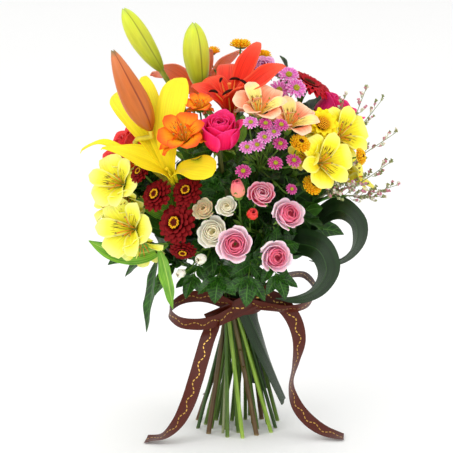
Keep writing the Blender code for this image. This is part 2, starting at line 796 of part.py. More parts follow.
def tower(layers, crown, sides, foot=None):
    """A bloom in one closed skin: layers of petals round a slim core, up to its crown.

    A layer is (core radius, lower height, upper height, petals in order of azimuth). The crown is
    (radius, height) rows that end in a point on the axis. The foot is the stalk's sections, or
    nothing for a bloom that starts in a point.
    """
    points = []
    faces = []

    def add(new_points):
        points.extend(tuple(point) for point in new_points)
        return list(range(len(points) - len(new_points), len(points)))

    if foot is None:
        below, below_angles = add([(0.0, 0.0, 0.0)]), [0.0]
        if not layers:
            below_angles = [2 * math.pi * step / sides for step in range(sides)]
            below = add([(0.05 * math.cos(turn), 0.05 * math.sin(turn), 0.0) for turn in below_angles])
            faces += [(0, below[step], below[(step + 1) % sides]) for step in range(sides)]
    else:
        below, below_angles = add(foot[0]), []
        faces.append(tuple(below))
        for ring in foot[1:]:
            higher = add(ring)
            for side in range(3):
                after = (side + 1) % 3
                faces.append((below[side], below[after], higher[after]))
                faces.append((below[side], higher[after], higher[side]))
            below = higher
        below_angles = angles_of(foot[-1])
    for radius, low, top, petals in layers:
        count = len(petals)
        middles = [entry[0] for entry in petals]
        turns = [(middles[index] + middles[index - 1] - (2 * math.pi if index == 0 else 0)) / 2
                 for index in range(count)]
        tops = add([(radius * math.cos(turn), radius * math.sin(turn), top) for turn in turns])
        lows = add([(radius * math.cos(turn), radius * math.sin(turn), low) for turn in turns])
        for index, (azimuth, rings, tip) in enumerate(petals):
            after = (index + 1) % count
            root = (tops[index], tops[after], lows[after], lows[index])
            ids = add(rings[0])
            if len(ids) == 2:
                left, right = ids
                faces += [(root[0], left, right), (root[0], right, root[1]), (root[3], left, right)]
                faces += [(root[3], right, root[2]), (root[0], root[3], left), (root[1], root[2], right)]
                continue
            left, upper, right, lower = ids
            faces += [(root[0], root[3], left), (root[0], left, upper), (root[0], upper, root[1])]
            faces += [(root[1], upper, right), (root[1], right, root[2]), (root[2], right, lower)]
            faces += [(root[2], lower, root[3]), (root[3], lower, left)]
            for ring in rings[1:]:
                higher = add(ring)
                for edge, rib in ((0, 1), (2, 1), (2, 3), (0, 3)):
                    faces.append((ids[edge], higher[edge], higher[rib]))
                    faces.append((ids[edge], higher[rib], ids[rib]))
                ids = higher
            if tip is None:
                faces += [(ids[0], ids[1], ids[3]), (ids[1], ids[2], ids[3])]
            else:
                end = add([tip])[0]
                faces += [(ids[side], ids[(side + 1) % 4], end) for side in range(4)]
        faces += zipped(below, below_angles, lows, turns) if len(below) > 1 else [
            (0, lows[index], lows[(index + 1) % count]) for index in range(count)]
        below, below_angles = tops, turns
    for radius, height in crown[:-1]:
        turns = [2 * math.pi * step / sides for step in range(sides)]
        ring = add([(radius * math.cos(turn), radius * math.sin(turn), height) for turn in turns])
        faces += zipped(below, below_angles, ring, turns)
        below, below_angles = ring, turns
    end = add([(0.0, 0.0, crown[-1][1])])[0]
    faces += [(below[index], below[(index + 1) % len(below)], end) for index in range(len(below))]
    return np.array(points, float), faces


def straps(count, core, low, top, reach, height, spread, phase):
    """One layer of strap petals, every other one a little shorter."""
    step = 2 * math.pi / count
    petals = [
        strap_petal(step * (index + phase), reach * (1 - 0.07 * (index % 2)), height, step * spread / 2)
        for index in range(count)
    ]
    return core, low, top, petals


def rose_layer(count, core, low, rows, phase):
    """One layer of rolled petals. Rows are (radius, height), and neighbours nearly touch."""
    step = 2 * math.pi / count
    petals = []
    for index in range(count):
        shaped = [(*row, 0.5 * step * share) for row, share in zip(rows, (0.86, 0.8))]
        petals.append(rolled_petal(shaped, step * (index + phase), 0.04))
    return core, low, low + 0.03, petals


def make_bloom(kind, size, foot=None):
    """One bloom in its own place, with its base at the origin and facing up."""
    if kind == "rose":
        layers = [
            rose_layer(5, 0.1, 0.02, [(0.42, 0.26), (0.48, 0.72)], 0.0),
            rose_layer(4, 0.1, 0.1, [(0.32, 0.34), (0.37, 0.84)], 0.5),
            rose_layer(3, 0.1, 0.18, [(0.235, 0.42), (0.245, 0.9)], 0.2),
        ]
        shape = tower(layers, [(0.15, 0.42), (0.12, 0.8), (0, 0.86)], 5, foot)
    elif kind == "spray_rose":
        layers = [
            rose_layer(4, 0.1, 0.02, [(0.41, 0.2), (0.49, 0.42)], 0.0),
            rose_layer(3, 0.1, 0.1, [(0.3, 0.5)], 0.4),
        ]
        shape = tower(layers, [(0.16, 0.36), (0, 0.48)], 4, foot)
    elif kind in BUD_HALVES:
        wide = BUD_HALVES[kind]
        profile = [(wide * 0.8, 0.2), (wide, 0.42), (wide * 0.62, 0.74), (wide * 0.25, 0.93), (0, 1)]
        shape = tower([], profile, 6 if foot is None else 5, foot)
    elif kind == "alstro":
        petals = []
        for index in range(6):
            rows = [(0.15, 0.28, 0.12), (0.37, 0.43, 0.24), (0.52, 0.48, 0)]
            if index % 2 == 1:
                rows = [(0.26, 0.42, 0.13), (0.5, 0.56, 0)]
            petals.append(open_petal(rows, math.pi * index / 3, 0.035, 0.25))
        shape = tower([(0.08, 0.08, 0.14, petals)], [(0, 0.2)], 6, foot)
    elif kind == "mum":
        layers = [
            straps(9, 0.17, 0.06, 0.12, 0.5, 0.14, 0.7, 0.0),
            straps(7, 0.14, 0.15, 0.2, 0.37, 0.26, 0.7, 0.5),
        ]
        shape = tower(layers, [(0, 0.25)], 6, foot)
    elif kind == "daisy":
        shape = tower([straps(7, 0.2, 0.05, 0.15, 0.5, 0.14, 0.74, 0.0)], [(0, 0.22)], 6, foot)
    elif kind == "button":
        layers = [
            straps(9, 0.26, 0.06, 0.2, 0.5, 0.1, 0.82, 0.0),
            straps(7, 0.2, 0.24, 0.3, 0.38, 0.26, 0.82, 0.5),
        ]
        shape = tower(layers, [(0, 0.38)], 6, foot)
    else:
        layers = [
            straps(16, 0.17, 0.05, 0.1, 0.5, 0.1, 0.74, 0.0),
            straps(11, 0.14, 0.12, 0.16, 0.36, 0.17, 0.74, 0.5),
        ]
        shape = tower(layers, [(0, 0.2)], 6, foot)
    points, faces = shape
    return points * size, faces


def axes(facing):
    """The bloom's own three directions, as rows."""
    across = unit(np.cross(facing, (0.0, 1.0, 0.0)))
    return np.stack([across, np.cross(facing, across), facing])


def placed(shape, base, facing):
    """Turn a shape to face a way and move it to a base."""
    points, faces = shape
    return points @ axes(facing) + base, faces


def lily(name, entry):
    """An open lily: six tepals to their own tips, and six stamens."""
    base, ahead = entry["base"], entry["facing"]
    turn = axes(ahead)
    petals = []
    for tip, half in LILY_TIPS[name]:
        rib = (tepal_rib(base, ahead, tip) - base) @ turn.T
        azimuth = math.atan2(rib[-1][1], rib[-1][0])
        across = np.array([-math.sin(azimuth), math.cos(azimuth), 0.0])
        widths = half * np.array([0.5, 0.85, 1.0, 0.75])
        petals.append((azimuth, blade_rings(rib, across, [0.3 * half, *widths], 1.5, 0.18)[1:], rib[-1]))
    petals.sort(key=lambda petal: petal[0])
    stamens = []
    for index in range(6):
        longer = 4 * (index % 2)
        rows = [(9, 40 + longer, 1.4), (13, 50 + longer, 0)]
        stamens.append(open_petal(rows, math.pi / 3 * index, 1.4, 0.0))
    shape = tower([(4.5, 6.0, 9.0, petals), (2.4, 10.0, 12.0, stamens)], [(0, 15)], 6)
    return [placed(shape, base, ahead)]


def leaf(start, base, tip, half, sag):
    """A leaf with its petiole, from inside the stem."""
    rib = leaf_rib(base, tip, sag, 5)
    side = unit(np.cross(rib[2] - HEART, rib[-1] - rib[0]))
    widths = [0.5 * BRANCH, 0.5 * BRANCH, *(half * np.array([0.85, 1.0, 0.7]))]
    return blade([start, *rib], side, widths, [BRANCH, BRANCH, 1.4, 1.4, 1.2], 0.15)


# Part four: the objects
def material(name):
    found = bpy.data.materials.get(name)
    if found:
        return found
    made = bpy.data.materials.new(name)
    made.use_nodes = True
    shader = made.node_tree.nodes["Principled BSDF"]
    shader.inputs["Base Color"].default_value = (*COLOURS[name], 1.0)
    shader.inputs["Roughness"].default_value = 0.35 if name == "ribbon_brown" else 0.55
    shader.inputs["Metallic"].default_value = 0.0
    return made


def loose_object(name, shape):
    """An object in metres from a shape in millimetres, with its faces looking out."""
    points, faces = shape
    mesh = bpy.data.meshes.new(name)
    mesh.from_pydata((points * MM).tolist(), [], faces)
    work = bmesh.new()
    work.from_mesh(mesh)
    bmesh.ops.recalc_face_normals(work, faces=work.faces)
    work.to_mesh(mesh)
    work.free()
    return bpy.data.objects.new(name, mesh)


def keep_main_shell(mesh):
    """Drop the shells that the union closed inside the body, and any scrap beside it."""
    work = bmesh.new()
    work.from_mesh(mesh)
    left = set(work.faces)
    shells = []
    while left:
        seed = left.pop()
        shell, queue = [seed], [seed]
        while queue:
            for edge in queue.pop().edges:
                for face in edge.link_faces:
                    if face in left:
                        left.remove(face)
                        shell.append(face)
                        queue.append(face)
        shells.append(shell)
    shells.sort(key=len)
    dropped = {vert for shell in shells[:-1] for face in shell for vert in face.verts}
    bmesh.ops.delete(work, geom=list(dropped), context="VERTS")
    work.to_mesh(mesh)
    work.free()


def make(name, shapes, colour):
    """One object from shapes that run into each other, joined by one union on a collection."""
    node = loose_object(name, shapes[0])
    bpy.context.scene.collection.objects.link(node)
    if len(shapes) > 1:
        others = bpy.data.collections.new(name + "_parts")
        bpy.context.scene.collection.children.link(others)
        for index, shape in enumerate(shapes[1:]):
            others.objects.link(loose_object(f"{name}_{index}", shape))
        join = node.modifiers.new("join", "BOOLEAN")
        join.operation = "UNION"
        join.operand_type = "COLLECTION"
        join.collection = others
        join.solver = "MANIFOLD"
        seen = bpy.context.evaluated_depsgraph_get()
        joined = bpy.data.meshes.new_from_object(node.evaluated_get(seen))
        node.modifiers.clear()
        node.data = joined
        for part in list(others.objects):
            bpy.data.objects.remove(part)
        bpy.data.collections.remove(others)
    keep_main_shell(node.data)
    node.data.materials.clear()
    node.data.materials.append(material(colour))
    print(f"{name}: {len(shapes)} shapes, {len(node.data.polygons)} faces")


def stem_shapes(plant, lines, net):
    """A stem from its cut end to its top, with what grows on it in the same green."""
    width = plant["stem"][0]
    ends = [net.solved[index] for index in lines["stem"]]
    shapes = [tube([on_spiral(lines["spot"], 0.0)] + ends, width / 2, STEM_SIDES, 0.0)]
    if "arms" in plant:
        apart = len(plant["arms"])
        for index, ids in enumerate(lines["stalks"]):
            line = net.solved[ids].copy()
            line[0] -= 3 * unit(line[1] - line[0])
            ahead = unit(line[-1] - line[-2])
            line[-1] += ahead * (-CLEAR if index < apart else 1.5)
            shapes.append(tube(line, LIMB / 2, STEM_SIDES))
    for entry in buds_of(plant):
        shapes.append(placed(make_bloom(entry["kind"], entry["size"]), entry["base"], entry["facing"]))
    for ids, (base, tip, half, sag) in zip(lines["petioles"], plant.get("leaves", [])):
        shapes.append(leaf(net.solved[ids[0]], base, tip, half, sag))
    return shapes


def twig(line, radius):
    """A three-sided twig of sea lavender whose faces grow into small flower clusters."""
    shares = (0.0, 0.5, 0.56, 0.7, 0.76, 0.9, 0.95, 1.0)
    lengths = np.concatenate([[0], np.cumsum(np.linalg.norm(np.diff(line, axis=0), axis=1))])
    stops = np.array(shares) * lengths[-1]
    line = np.stack([np.interp(stops, lengths, line[:, axis]) for axis in range(3)], 1)
    ahead = unit(line[-1] - line[0])
    side = unit(np.cross(ahead, (0.2, 1.0, 0.1)))
    other = np.cross(ahead, side)
    points, faces = [], []
    for middle in line:
        for step in range(3):
            turn = 2 * math.pi * step / 3
            points.append(middle + radius * (math.cos(turn) * side + math.sin(turn) * other))
    spurs = {(1, 0): 11, (3, 1): 13, (5, 2): 12, (3, 2): 8, (5, 0): 9}
    for level in range(len(line) - 1):
        for step in range(3):
            after = (step + 1) % 3
            root = [3 * level + step, 3 * level + after, 3 * level + 3 + after, 3 * level + 3 + step]
            if (level, step) not in spurs:
                faces += [(root[0], root[1], root[2]), (root[0], root[2], root[3])]
                continue
            reach = spurs[level, step]
            middle = np.mean([points[index] for index in root], 0)
            out = unit(middle - 0.5 * (line[level] + line[level + 1]))
            run = unit(0.9 * ahead + out)
            knee = middle + 0.7 * reach * run
            wide = unit(points[root[1]] - points[root[0]])
            high = points[root[3]] - points[root[0]]
            high = unit(high - run * np.dot(high, run))
            signs = ((-1, -1), (1, -1), (1, 1), (-1, 1))
            corners = [knee + 1.3 * left * wide + up * high for left, up in signs]
            start = len(points)
            points += corners + [middle + reach * run]
            for index in range(4):
                follow = (index + 1) % 4
                faces.append((root[index], root[follow], start + follow))
                faces.append((root[index], start + follow, start + index))
                faces.append((start + index, start + follow, start + 4))
    faces.append((0, 1, 2))
    last = 3 * (len(line) - 1)
    faces.append((last, last + 1, last + 2))
    return np.array(points), faces


def spray_shapes(plant, lines, net):
    """A spray's head: a knob just above the stem, and each bloom on its stalk."""
    hub, ahead = hub_of(plant), lines["ahead"]
    width = plant["stem"][0]
    knob = [hub + reach * ahead for reach in (CLEAR, 4, 8, 12)]
    shapes = [tube(knob, [0.5 * width, 0.5 * width, 4.0, 3.2], STEM_SIDES)]
    for index, ids in enumerate(lines["stalks"]):
        line = net.solved[ids].copy()
        away = line[1] - line[0]
        line[0] += ahead + 2.2 * unit(away - ahead * np.dot(away, ahead))
        if "twigs" in plant:
            shapes.append(twig(line, 0.8))
        else:
            entry = blooms_of(plant)[index]
            foot = stalk_rings(line, BRANCH / 2, entry)
            shape = make_bloom(entry["kind"], entry["size"], foot)
            shapes.append(placed(shape, entry["base"], entry["facing"]))
    return shapes


# The two folded aspidistra leaves: where each passes the tie (degrees), and the rest of its path
# as (x, y, z, half width, direction of its width). The cut end fans out beside the stems.
ASPIDISTRAS = {
    "aspidistra_low": (-70, [
        (26, -34, 184, 13, 0.4, 0.9, 0.1), (44, -50, 214, 17, 0.3, 0.85, 0.4),
        (66, -60, 232, 19, 0.2, 0.75, 0.6), (88, -68, 228, 19, 0.5, 0.7, 0.4),
        (98, -70, 206, 18, 0.7, 0.7, 0.0), (88, -68, 184, 16, 0.5, 0.75, -0.4),
        (66, -62, 171, 12, 0.1, 0.8, -0.6), (42, -54, 168, 0, 0.0, 0.8, -0.6),
    ]),
    "aspidistra_high": (-4, [
        (38, -12, 184, 13, 0.25, 0.95, 0.1), (62, -20, 218, 16, 0.2, 0.9, 0.3),
        (90, -28, 250, 18, 0.1, 0.85, 0.5), (114, -32, 264, 18, 0.2, 0.85, 0.5),
        (131, -33, 250, 18, 0.5, 0.85, 0.0), (132, -32, 226, 17, 0.45, 0.85, -0.1),
        (118, -29, 208, 14, 0.3, 0.85, -0.3), (98, -26, 202, 10, 0.2, 0.9, -0.4),
        (80, -25, 204, 0, 0.2, 0.95, -0.2),
    ]),
}


def aspidistra_rib(turn, path, outside):
    """The leaf's middle line, half widths and sides, from its cut end up and round its loop."""
    angle = math.radians(turn)
    spot = (outside + 2.2) * np.array([math.cos(angle), math.sin(angle)])
    rib, halves, sides = [], [], []
    for height, half in ((34, 17), (90, 15), (TIE_HEIGHT - 12, 11), (TIE_HEIGHT + 12, 11)):
        place = on_spiral(spot, height)
        rib.append(place)
        halves.append(half)
        sides.append(unit((-place[1], place[0], 0)))
    for x, y, z, half, *side in path:
        rib.append(np.array([x, y, z], float))
        if half > 0:
            halves.append(half)
        sides.append(unit(side))
    return np.array(rib), halves, np.array(sides)


def aspidistra(turn, path, outside):
    rib, halves, sides = aspidistra_rib(turn, path, outside)
    return [blade(rib, sides, halves, 1.2, 0.22)]


def strap(path, half, thick):
    """A flat ribbon along (x, y, z) points, each with the direction of the ribbon's width."""
    rib = np.array([entry[:3] for entry in path], float)
    rings = []
    for index, entry in enumerate(path):
        ahead = unit(rib[min(index + 1, len(rib) - 1)] - rib[max(index - 1, 0)])
        across = np.array(entry[3:], float)
        across = unit(across - ahead * np.dot(across, ahead))
        upper = np.cross(ahead, across) * thick / 2
        middle = rib[index]
        rings.append([
            middle - half * across - upper,
            middle - half * across + upper,
            middle + half * across + upper,
            middle + half * across - upper,
        ])
    return loft(rings)


def hull_points(spots, radii, blades, height, count, spare):
    """Corners of an outline round the bundle at a height, spare away from its stems and leaves."""
    places = [(on_spiral(spot, height)[:2], radius) for spot, radius in zip(spots, radii)]
    places += [(place, 0.8) for place in blades]
    step = 2 * math.pi / count
    outs = [np.array([math.cos(step * index), math.sin(step * index)]) for index in range(count)]
    reach = [max(np.dot(place, out) + radius for place, radius in places) + spare for out in outs]
    corners = []
    for index, out in enumerate(outs):
        after = (index + 1) % count
        corners.append(np.linalg.solve([out, outs[after]], [reach[index], reach[after]]))
    return corners


def ring(inner, outer, heights):
    """A closed band between two outlines that are given at each height."""
    count = len(inner[0])
    points = []
    for height, line in zip(heights, inner):
        points += [(x, y, height) for x, y in line]
    for height, line in zip(heights, outer):
        points += [(x, y, height) for x, y in line]
    levels = len(heights)
    faces = []
    for side in range(count):
        after = (side + 1) % count
        for base in (0, levels * count):
            for level in range(levels - 1):
                low, high = base + level * count, base + (level + 1) * count
                faces += [(low + side, low + after, high + after), (low + side, high + after, high + side)]
        for level in (0, levels - 1):
            near, far = level * count, (levels + level) * count
            faces += [(near + side, near + after, far + after), (near + side, far + after, far + side)]
    return np.array(points), faces


RIBBON_HALF = 9.0
RIBBON_THICK = 0.9
KNOT_HALF = 10.5
KNOT_THICK = 2.4
BAND_SIDES = 20

# The bow: each path is (x, y, z) and the direction of the ribbon's width there
BOW = {
    "wrap": [
        (-34, -30.4, 134, -0.55, 0, 0.83), (-16, -33.4, 143, -0.5, 0, 0.86),
        (4, -34.4, 153, -0.5, 0, 0.86), (24, -30.4, 163, -0.5, 0.1, 0.86),
        (38, -22.6, 169, -0.45, 0.3, 0.84),
    ],
    "left_loop": [
        (-8, -34, 152, 0, -0.4, 0.9), (-24, -32, 160, 0, -0.45, 0.9), (-46, -32, 164, 0, -0.5, 0.86),
        (-66, -36, 160, 0.1, -0.55, 0.84), (-77, -45, 150, 0.1, -0.6, 0.8),
        (-68, -54, 142, 0.05, -0.55, 0.84), (-46, -54, 138, 0, -0.5, 0.86),
        (-26, -45, 139, 0, -0.4, 0.9), (-6, -35, 146, 0, -0.3, 0.95),
    ],
    "right_loop": [
        (10, -34, 158, 0, -0.75, 0.66), (30, -28, 172, 0, -0.76, 0.64), (54, -24, 186, 0.1, -0.78, 0.62),
        (76, -26, 187, 0.2, -0.8, 0.55), (87, -32, 173, 0.1, -0.82, 0.55), (80, -38, 158, 0, -0.78, 0.62),
        (60, -39, 151, -0.1, -0.74, 0.66), (38, -36, 152, -0.1, -0.7, 0.7), (16, -34, 155, 0, -0.6, 0.8),
    ],
    "left_tail": [
        (-20, -34, 142, 0.5, 0, 0.86), (-32, -39, 122, 0.8, -0.1, 0.55), (-40, -47, 98, 0.88, -0.2, 0.35),
        (-48, -55, 72, 0.92, -0.25, 0.28), (-57, -61, 46, 0.9, -0.35, 0.28),
        (-68, -64, 25, 0.78, -0.55, 0.33), (-84, -62, 9, 0.52, -0.8, 0.2), (-104, -56, 2.6, 0.35, -0.93, 0),
    ],
    "right_tail": [
        (28, -30, 165, -0.5, 0.2, 0.86), (46, -26, 156, 0.3, 0.3, 0.9), (62, -25, 137, 0.75, 0.3, 0.6),
        (69, -28, 113, 0.8, 0.55, 0.2), (65, -34, 86, 0.45, 0.85, 0.1), (60, -40, 62, 0.3, 0.95, 0.1),
        (66, -44, 40, 0.55, 0.8, 0.25), (80, -46, 22, 0.5, 0.75, 0.4), (98, -47, 9.5, 0.35, 0.85, 0.3),
        (120, -48, 2.6, 0.25, 0.97, 0),
    ],
}


def build():
    net, chains = route(PLANTS)
    spots = [lines["spot"] for lines in chains.values()]
    radii = [plant["stem"][0] / 2 for plant in PLANTS.values()]
    outside = max(np.hypot(*spot) + radius for spot, radius in zip(spots, radii))
    for name, plant in PLANTS.items():
        lines = chains[name]
        make(name + "_stem", stem_shapes(plant, lines, net), plant["stem"][1])
        if "single" in plant:
            only = blooms_of(plant)[0]
            shape = placed(make_bloom(only["kind"], only["size"]), only["base"], only["facing"])
            make(name + "_bloom", [shape], plant["single"][0])
        elif "arms" in plant:
            for arm, entry in zip(plant["arms"], blooms_of(plant)):
                if entry["kind"] == "lily":
                    shapes = lily(arm[0], entry)
                else:
                    shapes = [placed(make_bloom(entry["kind"], entry["size"]), entry["base"], entry["facing"])]
                make(arm[0], shapes, arm[1])
        elif "spray" in plant:
            make(name + "_blooms", spray_shapes(plant, lines, net), plant["spray"][0])
        elif "twigs" in plant:
            make(name + "_twigs", spray_shapes(plant, lines, net), "twig_green")
    leaf_marks = []
    for name, (turn, path) in ASPIDISTRAS.items():
        make(name, aspidistra(turn, path, outside), "leaf_grey")
        rib, halves, sides = aspidistra_rib(turn, path, outside)
        for share in (-1, -0.5, 0, 0.5, 1):
            for level in (2, 3):
                leaf_marks.append((rib[level] + share * halves[level] * sides[level])[:2])
    heights = (TIE_HEIGHT - BAND_HALF, TIE_HEIGHT + BAND_HALF)
    near, far = CLEAR + 0.1, CLEAR + 0.1 + RIBBON_THICK
    inner = [hull_points(spots, radii, leaf_marks, height, BAND_SIDES, near) for height in heights]
    outer = [hull_points(spots, radii, leaf_marks, height, BAND_SIDES, far) for height in heights]
    make("ribbon_band", [ring(inner, outer, heights)], "ribbon_brown")
    bow = [strap(BOW["wrap"], KNOT_HALF, KNOT_THICK)]
    for part in ("left_loop", "right_loop", "left_tail", "right_tail"):
        bow.append(strap(BOW[part], RIBBON_HALF, RIBBON_THICK))
    make("ribbon_bow", bow, "ribbon_brown")
    print(f"{len(bpy.data.objects)} nodes, bundle radius {outside:.1f} mm where it is tied")


build()
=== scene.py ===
# %% [markdown]
# A hand-tied bouquet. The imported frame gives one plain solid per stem, head of blooms, leaf and
# ribbon. This lesson dresses every one of them: it repeats the layout of the bouquet, lets the
# stems find their way past each other as they do in a florist's hand, and then grows petals,
# leaves and ribbon along those lines, so that each finished piece lies where its solid lies.

# %% Load the frame
import math

import bpy
import numpy as np
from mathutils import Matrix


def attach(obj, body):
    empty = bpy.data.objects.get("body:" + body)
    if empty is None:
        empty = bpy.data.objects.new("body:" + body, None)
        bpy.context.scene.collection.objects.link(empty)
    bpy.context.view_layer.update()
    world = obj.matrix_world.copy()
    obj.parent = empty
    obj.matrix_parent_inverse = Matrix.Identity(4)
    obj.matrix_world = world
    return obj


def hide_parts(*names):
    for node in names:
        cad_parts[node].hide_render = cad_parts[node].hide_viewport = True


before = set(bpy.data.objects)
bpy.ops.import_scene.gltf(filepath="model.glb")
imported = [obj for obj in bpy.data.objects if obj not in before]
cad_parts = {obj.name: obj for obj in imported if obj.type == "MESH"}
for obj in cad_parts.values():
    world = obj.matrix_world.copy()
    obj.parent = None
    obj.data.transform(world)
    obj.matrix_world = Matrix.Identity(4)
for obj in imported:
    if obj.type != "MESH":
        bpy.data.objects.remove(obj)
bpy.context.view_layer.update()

MM = 0.001

# %% [markdown]
# The camera stands where the photographer's did: a little above the flowers, looking down by
# about fourteen degrees from three metres away, with a long lens. The bouquet stands on a
# pale floor that is wide enough to fill the whole picture, so no horizon shows. A large soft
# light on the left, weaker ones on the right and in front, and one above stand in for a
# studio's softboxes.

# %% Camera, floor and lights
LOOK_AT = np.array([-0.013, 0.0, 0.237])
DISTANCE = 3.2
ELEVATION = math.radians(14.5)
VIEW_ANGLE = math.radians(9.15)


def aim(thing, target):
    """Turn a camera or a light so that it looks at a point."""
    away = np.array(thing.location) - target
    thing.rotation_euler = (
        math.atan2(math.hypot(away[0], away[1]), away[2]),
        0.0,
        math.atan2(away[0], -away[1]),
    )


camera = bpy.data.objects.new("camera", bpy.data.cameras.new("camera"))
bpy.context.scene.collection.objects.link(camera)
camera.location = LOOK_AT + DISTANCE * np.array([0.0, -math.cos(ELEVATION), math.sin(ELEVATION)])
camera.data.angle = VIEW_ANGLE
camera.data.clip_end = 100.0
aim(camera, LOOK_AT)
bpy.context.scene.camera = camera

for name, place, size, power in (
    ("softbox_left", (-1.5, -1.5, 1.7), 1.4, 16.0),
    ("softbox_right", (1.7, -1.1, 1.0), 1.4, 6.0),
    ("softbox_top", (0.1, 0.5, 2.2), 1.6, 7.0),
    ("softbox_front", (0.3, -2.4, 0.5), 1.2, 5.0),
):  # the place in metres, the side of the square light in metres, and its power in watts
    light = bpy.data.objects.new(name, bpy.data.lights.new(name, "AREA"))
    light.data.size = size
    light.data.energy = power
    light.location = place
    aim(light, np.array([0.0, 0.0, 0.25]))
    bpy.context.scene.collection.objects.link(light)
bpy.context.scene.view_settings.view_transform = "Standard"
print("camera at", [round(value, 3) for value in camera.location])

# %% [markdown]
# Every finish is a Principled shader with a few nodes in front of its colour. One function adds
# a node with its settings and links. Colours are written as they look on a screen, in hex, and
# turned into the linear numbers that a renderer works with.


# %% Nodes and colours
def linear(code):
    """An sRGB hex colour as linear red, green, blue and alpha."""
    parts = [int(code[start:start + 2], 16) / 255 for start in (0, 2, 4)]
    return [
        part / 12.92 if part < 0.04045 else ((part + 0.055) / 1.055) ** 2.4 for part in parts
    ] + [1.0]


def add(tree, kind, inputs=None, **settings):
    """Add a node, set what it has to be, and link or set each of its inputs."""
    made = tree.nodes.new("ShaderNode" + kind)
    for key, value in settings.items():
        setattr(made, key, value)
    for socket, value in (inputs or {}).items():
        if isinstance(value, bpy.types.NodeSocket):
            tree.links.new(value, made.inputs[socket])
        else:
            made.inputs[socket].default_value = value
    return made


def new_material(name, **sockets):
    """A Principled material, with the values that are the same all over its surface."""
    made = bpy.data.materials.new(name)
    made.use_nodes = True
    shader = made.node_tree.nodes["Principled BSDF"]
    for key, value in sockets.items():
        shader.inputs[key.replace("_", " ")].default_value = value
    return made, made.node_tree, shader


def ramp(tree, value, stops):
    """A colour ramp through (place, hex) stops."""
    made = add(tree, "ValToRGB", {"Fac": value})
    elements = made.color_ramp.elements
    for place, code in stops[1:-1]:
        elements.new(place)
    for element, (place, code) in zip(elements, stops):
        element.position = place
        element.color = linear(code)
    return made.outputs["Color"]


# %% [markdown]
# The floor is a matt paper sweep. Real paper isn't quite even, so a faint mottle of a few
# centimetres keeps it from looking like a cut-out.

# %% The floor
paper, tree, shader = new_material("studio_paper", Roughness=0.9)
mottle = add(tree, "TexNoise", {"Scale": 12.0, "Detail": 3.0}).outputs["Fac"]
white = ramp(tree, mottle, [(0.3, "fafaf9"), (0.7, "fdfdfc")])
tree.links.new(white, shader.inputs["Base Color"])
floor_mesh = bpy.data.meshes.new("floor")
floor_mesh.from_pydata([(-12, -12, 0), (12, -12, 0), (12, 12, 0), (-12, 12, 0)], [], [(0, 1, 2, 3)])
floor = bpy.data.objects.new("floor", floor_mesh)
floor.data.materials.append(paper)
bpy.context.scene.collection.objects.link(floor)
sky = bpy.data.worlds.new("studio")
bpy.context.scene.world = sky
sky.use_nodes = True
sky.node_tree.nodes["Background"].inputs["Color"].default_value = linear("ffffff")
sky.node_tree.nodes["Background"].inputs["Strength"].default_value = 0.95

# %% [markdown]
# The layout is the florist's plan, in millimetres. Each plant has a stem that ends at its hub,
# and its blooms are given by the middle of the face, the width and the way they look. A bloom
# without a facing looks straight out from the heart of the bouquet. Leaves are given by both
# ends, half the width and how far the middle sags.

# %% The plan of the bouquet
TIE_HEIGHT = 150.0  # the middle of the ribbon's band
FOOT_SPREAD = 3.2  # how many times wider the stems stand on the floor than they are tied
CLEAR = 0.35  # air between pieces that touch
HEART = np.array([0.0, 0.0, 215.0])
SPIRAL = math.sqrt(FOOT_SPREAD**2 - 1) / TIE_HEIGHT  # a stem's lean, for each mm from the axis
TIE_TURN = math.radians(66)  # a stem is tied this far round from the side that its hub is on

